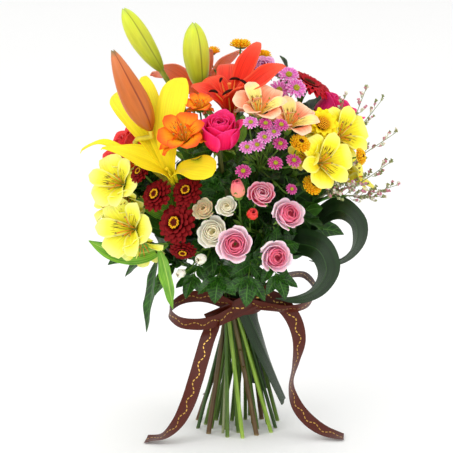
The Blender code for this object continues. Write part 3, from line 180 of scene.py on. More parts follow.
PLANTS = {
    "lily_orange": {
        "stem": (7.0, "stem_green"), "hub": (-6, -8, 330),
        "arms": [("lily_orange_bloom", "red_orange", "lily", (-8, -52, 384), 86, (0.0, -0.35, 0.93))],
        "buds": [("fat_bud", (-46, -4, 434), 74, (-0.1, 0.0, 0.99))],
    },
    "lily_yellow": {
        "stem": (7.0, "stem_green"), "hub": (-56, -52, 286),
        "arms": [
            ("lily_yellow_bloom", "yellow", "lily", (-76, -94, 326), 100, (-0.3, -0.5, 0.81)),
            ("lily_russet_bud", "bud_russet", "bud", (-116, -84, 411), 96, (-0.433, 0.163, 0.887)),
        ],
        "leaves": [
            ((-78, -74, 236), (-166, -62, 237), 13, 13), ((-88, -78, 232), (-72, -90, 166), 11, -10),
        ],
    },
    "lily_back": {
        "stem": (7.0, "stem_green"), "hub": (-38, 26, 325),
        "arms": [("lily_back_bloom", "red_orange", "lily", (-40, 56, 372), 84, (-0.2, 0.5, 0.84))],
        "buds": [("bud", (-107, 8, 450), 80, (-0.52, 0.05, 0.85))],
    },
    "rose_pink": {
        "stem": (6.0, "stem_brown"),
        "single": ("hot_pink", "rose", (-20, -112, 385), 47, (0.0, -0.36, 0.93)),
        "leaves": [((-18, -68, 282), (-32, -98, 328), 18, 4), ((-2, -70, 276), (10, -102, 318), 17, 4)],
    },
    "rose_coral": {
        "stem": (6.0, "stem_brown"), "single": ("coral", "rose", (-132, -22, 336), 46),
        "leaves": [((-92, -18, 276), (-146, -34, 300), 17, -6), ((-90, 0, 268), (-142, 6, 304), 17, -6)],
    },
    "rose_magenta": {
        "stem": (6.0, "stem_brown"), "single": ("magenta", "rose", (114, 10, 374), 46),
        "leaves": [((92, 4, 304), (140, 2, 342), 17, -4), ((80, 26, 294), (122, 48, 328), 17, -6)],
    },
    "rose_back": {
        "stem": (6.0, "stem_green"), "single": ("hot_pink", "rose", (34, 104, 346), 50),
        "leaves": [((14, 74, 276), (-10, 112, 312), 18, -4), ((40, 72, 270), (60, 112, 318), 16, -4)],
    },
    "gerbera": {
        "stem": (6.0, "stem_green"),
        "single": ("dark_red", "gerbera", (79, 4, 401), 56, (0.44, -0.12, 0.89)),
    },
    "spray_rose_pink": {
        "stem": (5.0, "stem_green"), "hub": (26, -58, 244),
        "spray": ("pale_pink", [
            ("spray_rose", (-4, -132, 251), 41), ("spray_rose", (43, -112, 231), 38),
            ("spray_rose", (57, -108, 280), 38), ("spray_rose", (26, -116, 305), 31),
            ("rose_bud", (-1, -118, 309), 25, (-0.1, -0.4, 0.9)), ("rose_bud", (15, -120, 282), 20),
        ]),
        "leaves": [((14, -70, 216), (8, -104, 172), 13, -6), ((34, -66, 212), (52, -94, 178), 11, -6)],
    },
    "spray_rose_white": {
        "stem": (5.0, "stem_green"), "hub": (-24, -56, 240),
        "spray": ("cream", [
            ("spray_rose", (-29, -111, 260), 36), ("spray_rose", (-39, -110, 286), 25),
            ("spray_rose", (-13, -114, 290), 24), ("rose_bud", (-41, -112, 229), 19),
            ("rose_bud", (-63, -98, 209), 15),
        ]),
        "leaves": [
            ((-18, -68, 212), (-26, -104, 176), 13, -6), ((-42, -62, 210), (-58, -84, 176), 10, -6),
        ],
    },
    "spray_rose_lilac": {
        "stem": (5.0, "stem_green"), "hub": (26, 12, 360),
        "spray": ("lilac", [
            ("spray_rose", (28, -10, 426), 34, (0.1, -0.55, 0.83)), ("spray_rose", (52, 36, 412), 28),
        ]),
    },
    "spray_rose_back": {
        "stem": (5.0, "stem_green"), "hub": (-14, 60, 236),
        "spray": ("pale_pink", [
            ("spray_rose", (-58, 96, 268), 40), ("spray_rose", (-16, 116, 258), 42),
            ("spray_rose", (26, 112, 232), 38),
        ]),
        "leaves": [((-18, 74, 212), (-28, 110, 170), 13, -6), ((6, 76, 206), (20, 106, 166), 12, -6)],
    },
    "alstro_left": {
        "stem": (5.0, "stem_green"), "hub": (-84, -36, 250),
        "spray": ("lemon", [
            ("alstro", (-125, -82, 256), 62, (-0.45, -0.85, 0.25)),
            ("alstro", (-137, -70, 307), 56, (-0.5, -0.75, 0.42)),
            ("alstro", (-146, -14, 272), 54, (-0.85, -0.2, 0.45)),
        ]),
    },
    "alstro_right": {
        "stem": (5.0, "stem_green"), "hub": (78, -32, 292),
        "spray": ("yellow", [
            ("alstro", (96, -90, 334), 56, (0.4, -0.85, 0.35)),
            ("alstro", (118, -52, 358), 56, (0.5, -0.7, 0.5)), ("alstro", (134, -10, 304), 54),
        ]),
        "leaves": [((74, -35, 262), (120, -56, 285), 14, -6)],
    },
    "alstro_orange": {
        "stem": (5.0, "stem_green"), "hub": (-40, -72, 330),
        "spray": ("orange", [
            ("alstro", (-62, -118, 373), 50, (-0.2, -0.6, 0.77)),
            ("alstro", (-43, -88, 399), 28, (-0.1, -0.45, 0.89)),
        ]),
        "leaves": [((-44, -60, 282), (-60, -90, 330), 15, -4)],
    },
    "alstro_peach": {
        "stem": (5.0, "stem_green"), "hub": (36, -52, 336),
        "spray": ("peach", [
            ("alstro", (24, -90, 400), 54, (0.1, -0.45, 0.88)),
            ("alstro", (60, -84, 383), 52, (0.3, -0.45, 0.84)),
        ]),
    },
    "alstro_back": {
        "stem": (5.0, "stem_green"), "hub": (-68, 50, 280),
        "spray": ("orange", [
            ("alstro", (-96, 74, 324), 56), ("alstro", (-124, 40, 296), 54),
        ]),
        "leaves": [((-74, 56, 250), (-116, 84, 276), 17, -6)],
    },
    "mum_red": {
        "stem": (5.0, "stem_green"), "hub": (-54, -52, 250),
        "spray": ("dark_red", [
            ("mum", (-69, -108, 269), 42), ("mum", (-91, -92, 297), 36), ("mum", (-109, -84, 321), 25),
            ("mum", (-57, -98, 303), 34), ("mum", (-61, -96, 233), 28, (-0.1, -0.8, -0.6)),
        ]),
        "leaves": [((-30, -64, 224), (-28, -102, 208), 14, -6)],
    },
    "mum_back": {
        "stem": (5.0, "stem_green"), "hub": (52, 50, 262),
        "spray": ("dark_red", [
            ("mum", (84, 84, 310), 42), ("mum", (66, 98, 266), 40), ("mum", (106, 58, 272), 38),
        ]),
    },
    "daisy_pink": {
        "stem": (4.5, "stem_green"), "hub": (22, -72, 318),
        "spray": ("lilac", [
            ("daisy", (9, -126, 358), 17), ("daisy", (20, -124, 360), 17),
            ("daisy", (28, -122, 368), 17), ("daisy", (13, -120, 384), 17),
            ("daisy", (29, -116, 382), 16), ("daisy", (38, -118, 373), 16),
            ("daisy", (46, -114, 380), 17), ("daisy", (45, -118, 360), 17),
            ("daisy", (40, -120, 339), 17), ("daisy", (60, -112, 340), 17),
            ("daisy", (5, -124, 331), 17), ("daisy", (58, -108, 307), 13),
        ]),
        "leaves": [((26, -62, 252), (32, -104, 262), 15, -6)],
    },
    "daisy_lilac": {
        "stem": (4.5, "stem_green"), "hub": (38, 30, 345),
        "spray": ("lilac", [
            ("daisy", (45, -42, 403), 24, (0.15, -0.75, 0.64)),
            ("daisy", (64, -44, 406), 24, (0.3, -0.7, 0.64)),
            ("daisy", (56, -20, 416), 24, (0.2, -0.6, 0.77)), ("daisy", (24, 72, 400), 24),
            ("daisy", (56, 66, 388), 24),
        ]),
    },
    "button_front": {
        "stem": (4.5, "stem_green"), "hub": (58, -50, 306),
        "spray": ("gold", [
            ("button", (68, -108, 360), 24), ("button", (82, -98, 310), 24),
            ("button", (136, -74, 336), 20, (0.9, -0.35, 0.3)),
            ("mum", (92, -70, 371), 35, (0.3, -0.78, 0.55)),
        ]),
        "leaves": [((60, -50, 258), (92, -88, 254), 16, -6)],
    },
    "button_top": {
        "stem": (4.5, "stem_green"), "hub": (0, 30, 365),
        "spray": ("gold", [
            ("button", (3, 22, 445), 26, (0.05, 0.1, 0.99)), ("button", (27, 44, 429), 24),
            ("button", (-32, 65, 428), 24),
        ]),
    },
    "foliage_left": {
        "stem": (4.5, "leaf_dark"), "hub": (-70, -40, 214),
        "leaves": [
            ((-90, -48, 212), (-102, -66, 132), 12, -8), ((-84, -28, 214), (-146, -30, 200), 13, -8),
            ((-70, -58, 208), (-92, -78, 178), 11, -4), ((-84, -10, 212), (-128, 8, 176), 12, -8),
        ],
    },
    "foliage_back": {
        "stem": (4.5, "leaf_dark"), "hub": (44, 56, 212),
        "leaves": [
            ((56, 68, 208), (90, 96, 176), 13, -8), ((62, 48, 212), (122, 52, 214), 13, -8),
            ((36, 76, 208), (46, 118, 186), 13, -8), ((-14, 50, 198), (-72, 74, 186), 12, -8),
        ],
    },
    "limonium_right": {"stem": (3.5, "twig_green"), "hub": (92, -22, 276), "twigs": "right"},
    "limonium_back": {"stem": (3.5, "twig_green"), "hub": (-34, 70, 300), "twigs": "back"},
}


# %% Tips of the lilies' tepals, and of the sea lavender's twigs
# Tepal tips of the open lilies, with half the tepal's width
LILY_TIPS = {
    "lily_yellow_bloom": [
        ((-26, -130, 331), 16),
        ((-150, -86, 346), 14),
        ((-174, -52, 334), 5),
        ((-136, -10, 392), 12),
        ((-104, -18, 413), 12),
        ((-62, -58, 420), 16),
    ],
    "lily_orange_bloom": [
        ((52, -56, 432), 14),
        ((24, 2, 447), 10),
        ((-10, 10, 421), 13),
        ((-34, -24, 413), 13),
        ((-52, -64, 411), 13),
        ((2, -84, 414), 10),
    ],
    "lily_back_bloom": [
        ((-93, 26, 414), 14),
        ((-100, 66, 398), 12),
        ((-56, 120, 386), 13),
        ((2, 104, 396), 13),
        ((6, 64, 426), 10),
        ((-38, 20, 436), 12),
    ],
}

# Points that a branch passes on its way to a bloom, where the straight way is through a tepal
WAYS = {(-116, -84, 411): (-112, -79, 355)}

# Twigs of the sea lavender: the tip of each side branch
TWIG_TIPS = {
    "right": [
        (118, -20, 392), (142, -24, 402), (160, -20, 388), (176, -18, 350), (170, -26, 318),
        (178, -20, 290), (160, -34, 280), (128, -66, 300), (108, -84, 292),
    ],
    "back": [(-56, 108, 350), (-76, 104, 320), (-34, 128, 320), (-86, 92, 360), (-12, 130, 300)],
}

# How deep a bloom is below the middle of its face, as a share of its size
DEPTHS = {
    "lily": 0.22, "bud": 0.5, "fat_bud": 0.5, "rose": 0.8, "spray_rose": 0.42, "rose_bud": 0.5,
    "alstro": 0.5, "mum": 0.16, "daisy": 0.14, "button": 0.3, "gerbera": 0.12,
}

# Half the width of a bud, as a share of its length
BUD_HALVES = {"bud": 0.155, "fat_bud": 0.2, "rose_bud": 0.33}

print(len(PLANTS), "plants")

# %% [markdown]
# A hand-tied bouquet is a spiral: every stem leans the same way round the tie, so the stems
# spread below it as well as above. A stem at a spot of the tie is therefore easy to find at any
# height. The stems are first slid together where they are tied, like pencils in a rubber band.


# %% Places on the spiral
def unit(vector):
    vector = np.asarray(vector, float)
    return vector / np.linalg.norm(vector)


def on_spiral(spot, height):
    """Where the stem that passes the tie at spot is at this height."""
    turn = SPIRAL * (height - TIE_HEIGHT)
    return np.array([spot[0] + turn * spot[1], spot[1] - turn * spot[0], height])


def bloom(kind, face, size, facing=None):
    """A bloom with its base worked out from the middle of its face."""
    way = WAYS.get(tuple(face))
    face = np.asarray(face, float)
    ahead = unit(face - HEART if facing is None else facing)
    base = face - DEPTHS[kind] * size * ahead
    return {"kind": kind, "size": size, "facing": ahead, "base": base, "way": way}


def blooms_of(plant):
    """The plant's blooms: a single one, the branches' ones, or those of its spray."""
    if "single" in plant:
        return [bloom(*plant["single"][1:])]
    if "arms" in plant:
        return [bloom(*arm[2:]) for arm in plant["arms"]]
    return [bloom(*entry) for entry in plant.get("spray", ("", []))[1]]


def buds_of(plant):
    return [bloom(*entry) for entry in plant.get("buds", [])]


def hub_of(plant):
    """Where the stem ends: at its branches, or just under its single bloom."""
    if "single" in plant:
        only = blooms_of(plant)[0]
        return only["base"] - CLEAR * only["facing"]
    return np.asarray(plant["hub"], float)


def tepal_rib(base, facing, tip, stations=6):
    """The middle line of a lily's tepal: out of the throat along the axis, then over to its tip."""
    tip = np.asarray(tip, float)
    span = np.linalg.norm(tip - base)
    shoulder = base + 0.5 * span * facing
    crown = tip + 0.12 * span * facing
    rib = []
    for share in np.linspace(0, 1, stations):
        rest = 1 - share
        rib.append(
            rest**3 * base + 3 * rest**2 * share * shoulder + 3 * rest * share**2 * crown + share**3 * tip
        )
    return np.array(rib)


def leaf_rib(base, tip, sag, stations=6):
    """The middle line of a leaf, whose middle hangs by sag below the straight line."""
    share = np.linspace(0, 1, stations)[:, None]
    rib = np.asarray(base, float) * (1 - share) + np.asarray(tip, float) * share
    rib[:, 2] -= sag * 4 * (share * (1 - share))[:, 0]
    return rib


PUSHES = 3000  # rounds in which the tied stems push each other apart
PULLS = 2400  # the first of them, in which they are also drawn to the middle


def pack_tie(plants):
    """Slide the stems together where they are tied, the ones that lean most on the outside."""
    names = list(plants)
    radii = np.array([plants[name]["stem"][0] / 2 for name in names])
    hubs = np.array([hub_of(plant) for plant in plants.values()])
    lean = np.hypot(hubs[:, 0], hubs[:, 1]) / np.maximum(hubs[:, 2] - TIE_HEIGHT, 40)
    rank = np.argsort(np.argsort(lean))
    around = np.arctan2(hubs[:, 1], hubs[:, 0]) + TIE_TURN
    out = 3 + 19 * np.sqrt(rank / len(names))
    spots = np.stack([out * np.cos(around), out * np.sin(around)], 1)
    first, second = np.triu_indices(len(names), 1)
    for step in range(PUSHES):
        spots *= 1 - (0.005 if step < PULLS else 0.0)
        between = spots[first] - spots[second]
        middle = (spots[first] + spots[second]) / 2
        out = np.maximum(np.linalg.norm(middle, axis=1), 1e-6)
        along = np.stack([-middle[:, 1], middle[:, 0]], 1) / out[:, None]
        lean_square = (SPIRAL * out) ** 2
        shrink = lean_square / (1 + lean_square)
        flat = np.sum(between**2, 1) - shrink * np.sum(between * along, 1) ** 2
        apart = np.sqrt(np.maximum(flat, 1e-9))
        deep = np.maximum(radii[first] + radii[second] + CLEAR - apart, 0)
        ways = between / np.maximum(np.linalg.norm(between, axis=1), 1e-6)[:, None]
        push = ways * deep[:, None] * 0.5
        np.add.at(spots, first, push)
        np.add.at(spots, second, -push)
        spots[0] = 0
    return dict(zip(names, spots))


# %% [markdown]
# Above the tie each stem still has to reach its own flowers without passing through another
# stem or bloom. Points along all of the lines push each other apart for a few hundred rounds
# and are smoothed in between, which is how springy stems settle in the hand.


# %% The stems find their way
def closest(start_a, end_a, start_b, end_b):
    """Shares along two lines at which they are nearest each other, for many pairs at once."""
    run_a = end_a - start_a
    run_b = end_b - start_b
    between = start_a - start_b
    aa = np.sum(run_a * run_a, 1)
    bb = np.sum(run_b * run_b, 1)
    ab = np.sum(run_a * run_b, 1)
    ac = np.sum(run_a * between, 1)
    bc = np.sum(run_b * between, 1)
    share_a = np.clip((ab * bc - ac * bb) / np.maximum(aa * bb - ab * ab, 1e-9), 0, 1)
    share_b = np.clip((ab * share_a + bc) / bb, 0, 1)
    share_a = np.clip((ab * share_b - ac) / aa, 0, 1)
    return share_a[:, None], share_b[:, None]


SMOOTHING = 0.12  # how far a point moves towards the middle of its neighbours in a round
SMOOTH_SHARE = 0.7  # the share of the rounds that smooth as well as push
FARTHEST = 3  # the most that a point is pushed in a round


class Net:
    """The lines of all stems and branches as points and edges, which push each other apart."""

    def __init__(self):
        self.points = []
        self.fixed = []
        self.edges = []
        self.widths = []
        self.groups = []
        self.balls = []

    def point(self, place, fixed):
        self.points.append(np.asarray(place, float))
        self.fixed.append(fixed)
        return len(self.points) - 1

    def chain(self, ids, width, group):
        for start, end in zip(ids[:-1], ids[1:]):
            self.edges.append((start, end))
            self.widths.append(width / 2)
            self.groups.append(group)

    def ball(self, middle, radius, group):
        self.balls.append((*middle, radius, group))

    def relax(self, steps):
        """Push the lines off each other and off the blooms, round after round."""
        points = np.array(self.points)
        free = ~np.array(self.fixed)
        edges = np.array(self.edges)
        radii = np.array(self.widths)
        groups = np.array(self.groups)
        balls = np.array(self.balls)
        first, second = np.triu_indices(len(edges), 1)
        meet = (edges[first][:, :, None] == edges[second][:, None, :]).any((1, 2))
        keep = (groups[first] != groups[second]) & ~meet
        first, second = first[keep], second[keep]
        touch_e, touch_b = np.nonzero((groups // 2)[:, None] != (balls[:, 4] // 2)[None, :])
        heart = balls[touch_b][:, :3]
        for step in range(steps):
            move = np.zeros_like(points)
            ends = [points[edges[pair, end]] for pair in (first, second) for end in (0, 1)]
            share_a, share_b = closest(*ends)
            gap = ends[0] + (ends[1] - ends[0]) * share_a - ends[2] - (ends[3] - ends[2]) * share_b
            far = np.maximum(np.linalg.norm(gap, axis=1), 1e-6)
            deep = radii[first] + radii[second] + 2 * CLEAR - far
            hit = deep > 0
            push = (gap / far[:, None] * deep[:, None] * 0.5)[hit]
            for ids, share, sign in ((first, share_a, 1), (second, share_b, -1)):
                np.add.at(move, edges[ids[hit], 0], sign * push * (1 - share[hit]))
                np.add.at(move, edges[ids[hit], 1], sign * push * share[hit])
            start = points[edges[touch_e, 0]]
            run = points[edges[touch_e, 1]] - start
            share = np.clip(np.sum((heart - start) * run, 1) / np.sum(run * run, 1), 0, 1)[:, None]
            gap = start + run * share - heart
            far = np.maximum(np.linalg.norm(gap, axis=1), 1e-6)
            deep = balls[touch_b, 3] + radii[touch_e] + CLEAR - far
            hit = deep > 0
            push = (gap / far[:, None] * deep[:, None] * 0.5)[hit]
            np.add.at(move, edges[touch_e[hit], 0], push * (1 - share[hit]))
            np.add.at(move, edges[touch_e[hit], 1], push * share[hit])
            total = np.zeros_like(points)
            count = np.zeros(len(points))
            for one, other in ((0, 1), (1, 0)):
                np.add.at(total, edges[:, one], points[edges[:, other]])
                np.add.at(count, edges[:, one], 1)
            even = total / np.maximum(count, 1)[:, None] - points
            smooth = SMOOTHING if step < steps * SMOOTH_SHARE else 0.0
            move = np.clip(move, -FARTHEST, FARTHEST) + smooth * even
            points[free] += move[free]
        self.solved = points


BRANCH = 2.4  # room kept for the thin stalks in a spray
LIMB = 5.0  # room kept for a lily's branches
TWIG = 1.6  # room kept for a twig of sea lavender


def stalk(net, start, bloom_here, width, group):
    """A branch from a point of the net to the base of a bloom, straight for its last stretch."""
    way = bloom_here["way"]
    neck = bloom_here["base"] - (9 if way is None else 4) * bloom_here["facing"]
    origin = net.points[start]
    ids = [start]
    if way is not None:
        ids.append(net.point(0.5 * (origin + way) + (-12, 4, 0), True))
        ids.append(net.point(way, True))
    else:
        ids.append(net.point(origin * 0.5 + neck * 0.5, False))
    ids += [net.point(neck, True), net.point(bloom_here["base"], True)]
    net.chain(ids, width, group)
    return ids


def guard(net, bloom_here, name, group):
    """Balls that keep other plants' stems out of a bloom."""
    base, ahead, size = bloom_here["base"], bloom_here["facing"], bloom_here["size"]
    kind = bloom_here["kind"]
    if kind == "lily":
        net.ball(base + 0.1 * size * ahead, 0.12 * size, group)
        for tip, half in LILY_TIPS[name]:
            for spot in tepal_rib(base, ahead, tip, 8)[1:]:
                net.ball(spot, 0.75 * half, group)
    elif kind in ("bud", "fat_bud"):
        for share in (0.1, 0.3, 0.5, 0.7):
            net.ball(base + share * size * ahead, BUD_HALVES[kind] * size, group)
    elif kind in ("mum", "daisy", "gerbera"):
        net.ball(base + 0.1 * size * ahead, 0.4 * size, group)
        net.ball(base + 0.4 * size * ahead, 0.5 * size, group)
    else:
        net.ball(base + 0.12 * size * ahead, 0.2 * size, group)
        net.ball(base + 0.4 * size * ahead, 0.47 * size, group)


def route(plants):
    """Run every stem and stalk. Gives each plant's chains of points."""
    spots = pack_tie(plants)
    net = Net()
    chains = {}
    for index, (name, plant) in enumerate(plants.items()):
        width = plant["stem"][0]
        stem_group, head_group = 2 * index, 2 * index + 1
        blooms = blooms_of(plant)
        hub = hub_of(plant)
        tied = [net.point(on_spiral(spots[name], TIE_HEIGHT + rise), True) for rise in (14, 26)]
        if "single" in plant:
            ahead = blooms[0]["facing"]
        elif "twigs" in plant:
            ahead = unit(np.mean(TWIG_TIPS[plant["twigs"]], 0) - hub)
        elif blooms:
            ahead = unit(np.mean([entry["base"] for entry in blooms], 0) - hub)
        else:
            ahead = unit(hub - HEART + (0, 0, 60))
        start = net.points[tied[1]]
        climb = unit(net.points[tied[1]] - net.points[tied[0]])
        reach = np.linalg.norm(hub - start)
        bends = []
        for share in (0.3, 0.65):
            rest = 1 - share
            place = (
                rest**3 * start
                + 3 * rest**2 * share * (start + climb * reach / 3)
                + 3 * rest * share**2 * (hub - ahead * (8 + reach / 4))
                + share**3 * hub
            )
            bends.append(net.point(place, False))
        top = net.point(hub, True)
        stem = tied + bends + [net.point(hub - 8 * ahead, True), top]
        net.chain(stem, width, stem_group)
        lines = {"stem": stem, "stalks": [], "petioles": [], "spot": spots[name], "ahead": ahead}
        chains[name] = lines
        if "spray" in plant or "twigs" in plant:
            joint = net.point(hub + 6 * ahead, True)
            net.chain([top, joint], width, head_group)
            for entry in blooms:
                lines["stalks"].append(stalk(net, joint, entry, BRANCH, head_group))
            for tip in TWIG_TIPS.get(plant.get("twigs"), []):
                bend = net.point(0.5 * (np.array(tip) + hub) + 8 * ahead, False)
                ids = [joint, bend, net.point(tip, True)]
                net.chain(ids, TWIG, head_group)
                lines["stalks"].append(ids)
        if "arms" in plant:
            for entry in blooms + buds_of(plant):
                lines["stalks"].append(stalk(net, top, entry, LIMB, stem_group))
        names = [arm[0] for arm in plant["arms"]] if "arms" in plant else [name] * len(blooms)
        for entry, node in zip(blooms, names):
            guard(net, entry, node, head_group)
        for entry in buds_of(plant):
            guard(net, entry, name, stem_group)
        for base, tip, half, sag in plant.get("leaves", []):
            ids = [bends[-1], net.point(base, True)]
            net.chain(ids, BRANCH, stem_group)
            lines["petioles"].append(ids)
            for spot in leaf_rib(base, tip, sag)[1:]:
                net.ball(spot, 0.6 * half, stem_group)
    net.relax(240)
    return net, chains


net, chains = route(PLANTS)
outside = max(np.hypot(*chains[name]["spot"]) + PLANTS[name]["stem"][0] / 2 for name in PLANTS)
print("bundle radius at the tie, mm:", round(outside, 1))

# %% [markdown]
# Petals and leaves are thin, but they aren't paper. Each one starts as a curved grid of points
# and becomes a closed skin: the grid pushed out to both sides by half its thickness, with a rim
# that joins the two. Stems, buds and stamens are closed skins round a line. Every point also
# remembers its place: how far along the petal it is, how far across, and a number of the
# petal's own, so that a material can paint veins and shades that follow the petal.


# %% Lines, grids and skins
def smooth_line(rows, count, axes=3):
    """A smooth line through rows, evenly spread by distance in the rows' first axes."""
    rows = np.asarray(rows, float)
    lengths = np.linalg.norm(np.diff(rows[:, :axes], axis=0), axis=1)
    reach = np.concatenate([[0], np.cumsum(lengths)])
    stops = np.linspace(0, reach[-1], count)
    which = np.clip(np.searchsorted(reach, stops, side="right") - 1, 0, len(rows) - 2)
    share = ((stops - reach[which]) / lengths[which])[:, None]
    if len(rows) > 2:
        slope = np.gradient(rows, reach, axis=0)
    else:
        slope = np.diff(rows, axis=0)[[0, 0]] / reach[-1]
    start, end = rows[which], rows[which + 1]
    leave = slope[which] * lengths[which][:, None]
    arrive = slope[which + 1] * lengths[which][:, None]
    square, cube = share**2, share**3
    return (
        (2 * cube - 3 * square + 1) * start
        + (cube - 2 * square + share) * leave
        + (3 * square - 2 * cube) * end
        + (cube - square) * arrive
    )


def eased(stops, count):
    """Values at evenly spread places through (place, value) stops, with the corners softened."""
    values = np.interp(np.linspace(0, 1, count), *zip(*stops))
    for soften in range(2):
        values[1:-1] = (values[:-2] + 2 * values[1:-1] + values[2:]) / 4
    return values


def normalised(vectors):
    return vectors / np.maximum(np.linalg.norm(vectors, axis=-1, keepdims=True), 1e-9)


def blade_grid(rib, side, widths, cols, lift):
    """A grid of points across a rib. The lift is how far each point stands above the rib."""
    ahead = normalised(np.gradient(rib, axis=0))
    side = np.broadcast_to(side, rib.shape)
    across = normalised(side - ahead * np.sum(side * ahead, 1, keepdims=True))
    upper = np.cross(ahead, across)
    reach = np.linspace(-1, 1, cols)[None, :, None] * widths[:, None, None]
    return rib[:, None] + across[:, None] * reach + upper[:, None] * lift[:, :, None]


def sheet(grid, thick, finish, own=0.5):
    """A closed thin skin round a grid of points."""
    rows, cols = grid.shape[:2]
    over, down = np.gradient(grid, axis=1), np.gradient(grid, axis=0)
    push = normalised(np.cross(over, down)) * thick / 2
    ids = np.arange(rows * cols).reshape(rows, cols)
    quads = np.stack([ids[:-1, :-1], ids[:-1, 1:], ids[1:, 1:], ids[1:, :-1]], 2).reshape(-1, 4)
    rim = np.concatenate([ids[0, :-1], ids[:-1, -1], ids[-1, :0:-1], ids[:0:-1, 0]])
    after, below = np.roll(rim, -1), rows * cols
    edge = np.stack([after, rim, rim + below, after + below], 1)
    faces = np.concatenate([quads, quads[:, ::-1] + below, edge]).tolist()
    points = np.concatenate([(grid + push).reshape(-1, 3), (grid - push).reshape(-1, 3)])
    place = np.empty((rows, cols, 3))
    place[..., 0] = np.linspace(0, 1, rows)[:, None]
    place[..., 1] = np.linspace(-1, 1, cols)
    place[..., 2] = own
    return points, faces, np.tile(place.reshape(-1, 3), (2, 1)), finish


def skin(rings, finish, own=0.5):
    """A closed skin through rings of points, with both ends capped."""
    rings = np.asarray(rings)
    count, sides = rings.shape[:2]
    ids = np.arange(count * sides).reshape(count, sides)
    after = np.roll(ids, -1, axis=1)
    quads = np.stack([ids[:-1], after[:-1], after[1:], ids[1:]], 2).reshape(-1, 4)
    faces = quads.tolist() + [ids[0, ::-1].tolist(), ids[-1].tolist()]
    place = np.empty((count, sides, 3))
    place[..., 0] = np.linspace(0, 1, count)[:, None]
    place[..., 1] = np.linspace(-1, 1, sides, endpoint=False)
    place[..., 2] = own
    return rings.reshape(-1, 3), faces, place.reshape(-1, 3), finish


def round_line(line, radii, sides):
    """Rings round a line, turned as little as possible from one to the next."""
    line = np.asarray(line, float)
    runs = normalised(np.gradient(line, axis=0))
    side = unit(np.cross(runs[0], (1.0, 0.3, 0.1)))
    turns = 2 * math.pi * np.arange(sides)[:, None] / sides
    rings = []
    for middle, run, radius in zip(line, runs, np.broadcast_to(radii, len(line))):
        side = unit(side - run * np.dot(side, run))
        rings.append(middle + radius * (np.cos(turns) * side + np.sin(turns) * np.cross(run, side)))
    return np.array(rings)


def turned(rows, sides, lobes=0, depth=0.0):
    """Rings round the axis through (radius, height) rows, with or without lobes."""
    turns = 2 * math.pi * np.arange(sides) / sides
    swell = 1 + depth * np.cos(lobes * turns)
    return np.array([
        np.stack([radius * swell * np.cos(turns), radius * swell * np.sin(turns), 0 * turns + height], 1)
        for radius, height in rows
    ])


def axes(facing):
    """A bloom's own three directions, as rows."""
    across = unit(np.cross(facing, (0.0, 1.0, 0.0)))
    return np.stack([across, np.cross(facing, across), facing])


def placed(bits, base, facing, size=1.0):
    """Size the bits of a bloom, turn them to face a way and move them to a base."""
    turn = axes(facing)
    return [(points * size @ turn + base, faces, place, finish) for points, faces, place, finish in bits]


# %% [markdown]
# One function makes an object out of such bits. It rides on the frame's only body, and it
# replaces the solid of the same plant. Corners sharper than about fifty degrees, such as the
# rim of a petal, stay crisp while the rest is shaded smooth.

# %% From bits to a piece
FINISHES = {}
CREASE = math.radians(52)


def make_piece(name, bits, slot, *nodes):
    """One object from closed bits, in metres, standing for the named solids."""
    counts = [len(bit[0]) for bit in bits]
    starts = np.concatenate([[0], np.cumsum(counts)[:-1]])
    points = np.concatenate([bit[0] for bit in bits]) * MM
    faces = [
        [index + start for index in face] for bit, start in zip(bits, starts.tolist()) for face in bit[1]
    ]
    finishes = sorted({bit[3] for bit in bits})
    which = [finishes.index(bit[3]) for bit in bits for face in bit[1]]
    mesh = bpy.data.meshes.new(name)
    mesh.from_pydata(points.tolist(), [], faces)
    for finish in finishes:
        mesh.materials.append(FINISHES[finish])
    mesh.polygons.foreach_set("material_index", which)
    place = mesh.attributes.new("place", "FLOAT_VECTOR", "POINT")
    place.data.foreach_set("vector", np.concatenate([bit[2] for bit in bits]).ravel())
    mesh.shade_smooth()
    mesh.set_sharp_from_angle(angle=CREASE)
    mesh.update()
    piece = bpy.data.objects.new(name, mesh)
    bpy.context.scene.collection.objects.link(piece)
    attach(piece, "root")
    if nodes:
        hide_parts(*nodes)
    corners = sum(len(face) - 2 for face in faces)
    print(f"{name}: {len(bits)} bits, {corners} triangles, {', '.join(finishes)}")
    return piece


# %% [markdown]
# A petal is a thin, wet sheet of cells. Light soaks a little way in and comes out again, which
# gives the eye its glow, and fine veins run the petal's length. Its colour changes from the
# claw to the tip, or from the heart of the bloom to the outermost petal, so the material reads
# the place that every point remembers.


# %% Petal finishes
def new_tissue(name, **sockets):
    """A finish that reads the place of each point: along, across, and the petal's own number."""
    made, tree, shader = new_material(name, **sockets)
    FINISHES[name] = made
    where = add(tree, "Attribute", attribute_name="place").outputs["Vector"]
    return tree, shader, where, add(tree, "SeparateXYZ", {"Vector": where}).outputs


def grain(tree, where, stretch, detail):
    """Fine noise that is drawn out the way that the cells grow."""
    stretched = add(tree, "VectorMath", {0: where, 1: stretch}, operation="MULTIPLY").outputs[0]
    return add(tree, "TexNoise", {"Vector": stretched, "Scale": 1.0, "Detail": detail}).outputs["Fac"]


def cover(tree, shader, colour, marks, strength, depth):
    """Give a finish its colour, and raise its surface by its marks."""
    raised = add(tree, "Bump", {"Strength": strength, "Distance": depth, "Height": marks}).outputs[0]
    tree.links.new(colour, shader.inputs["Base Color"])
    tree.links.new(raised, shader.inputs["Normal"])


def veined(tree, shader, colour, veins, darkest, lightest, strength, depth):
    """Cover a finish with a colour that its veins make darker and lighter."""
    shade = add(tree, "MapRange", {0: veins, 1: 0.3, 2: 0.7, 3: darkest, 4: lightest}).outputs[0]
    lively = add(tree, "HueSaturation", {"Color": colour, "Value": shade}).outputs[0]
    cover(tree, shader, lively, veins, strength, depth)


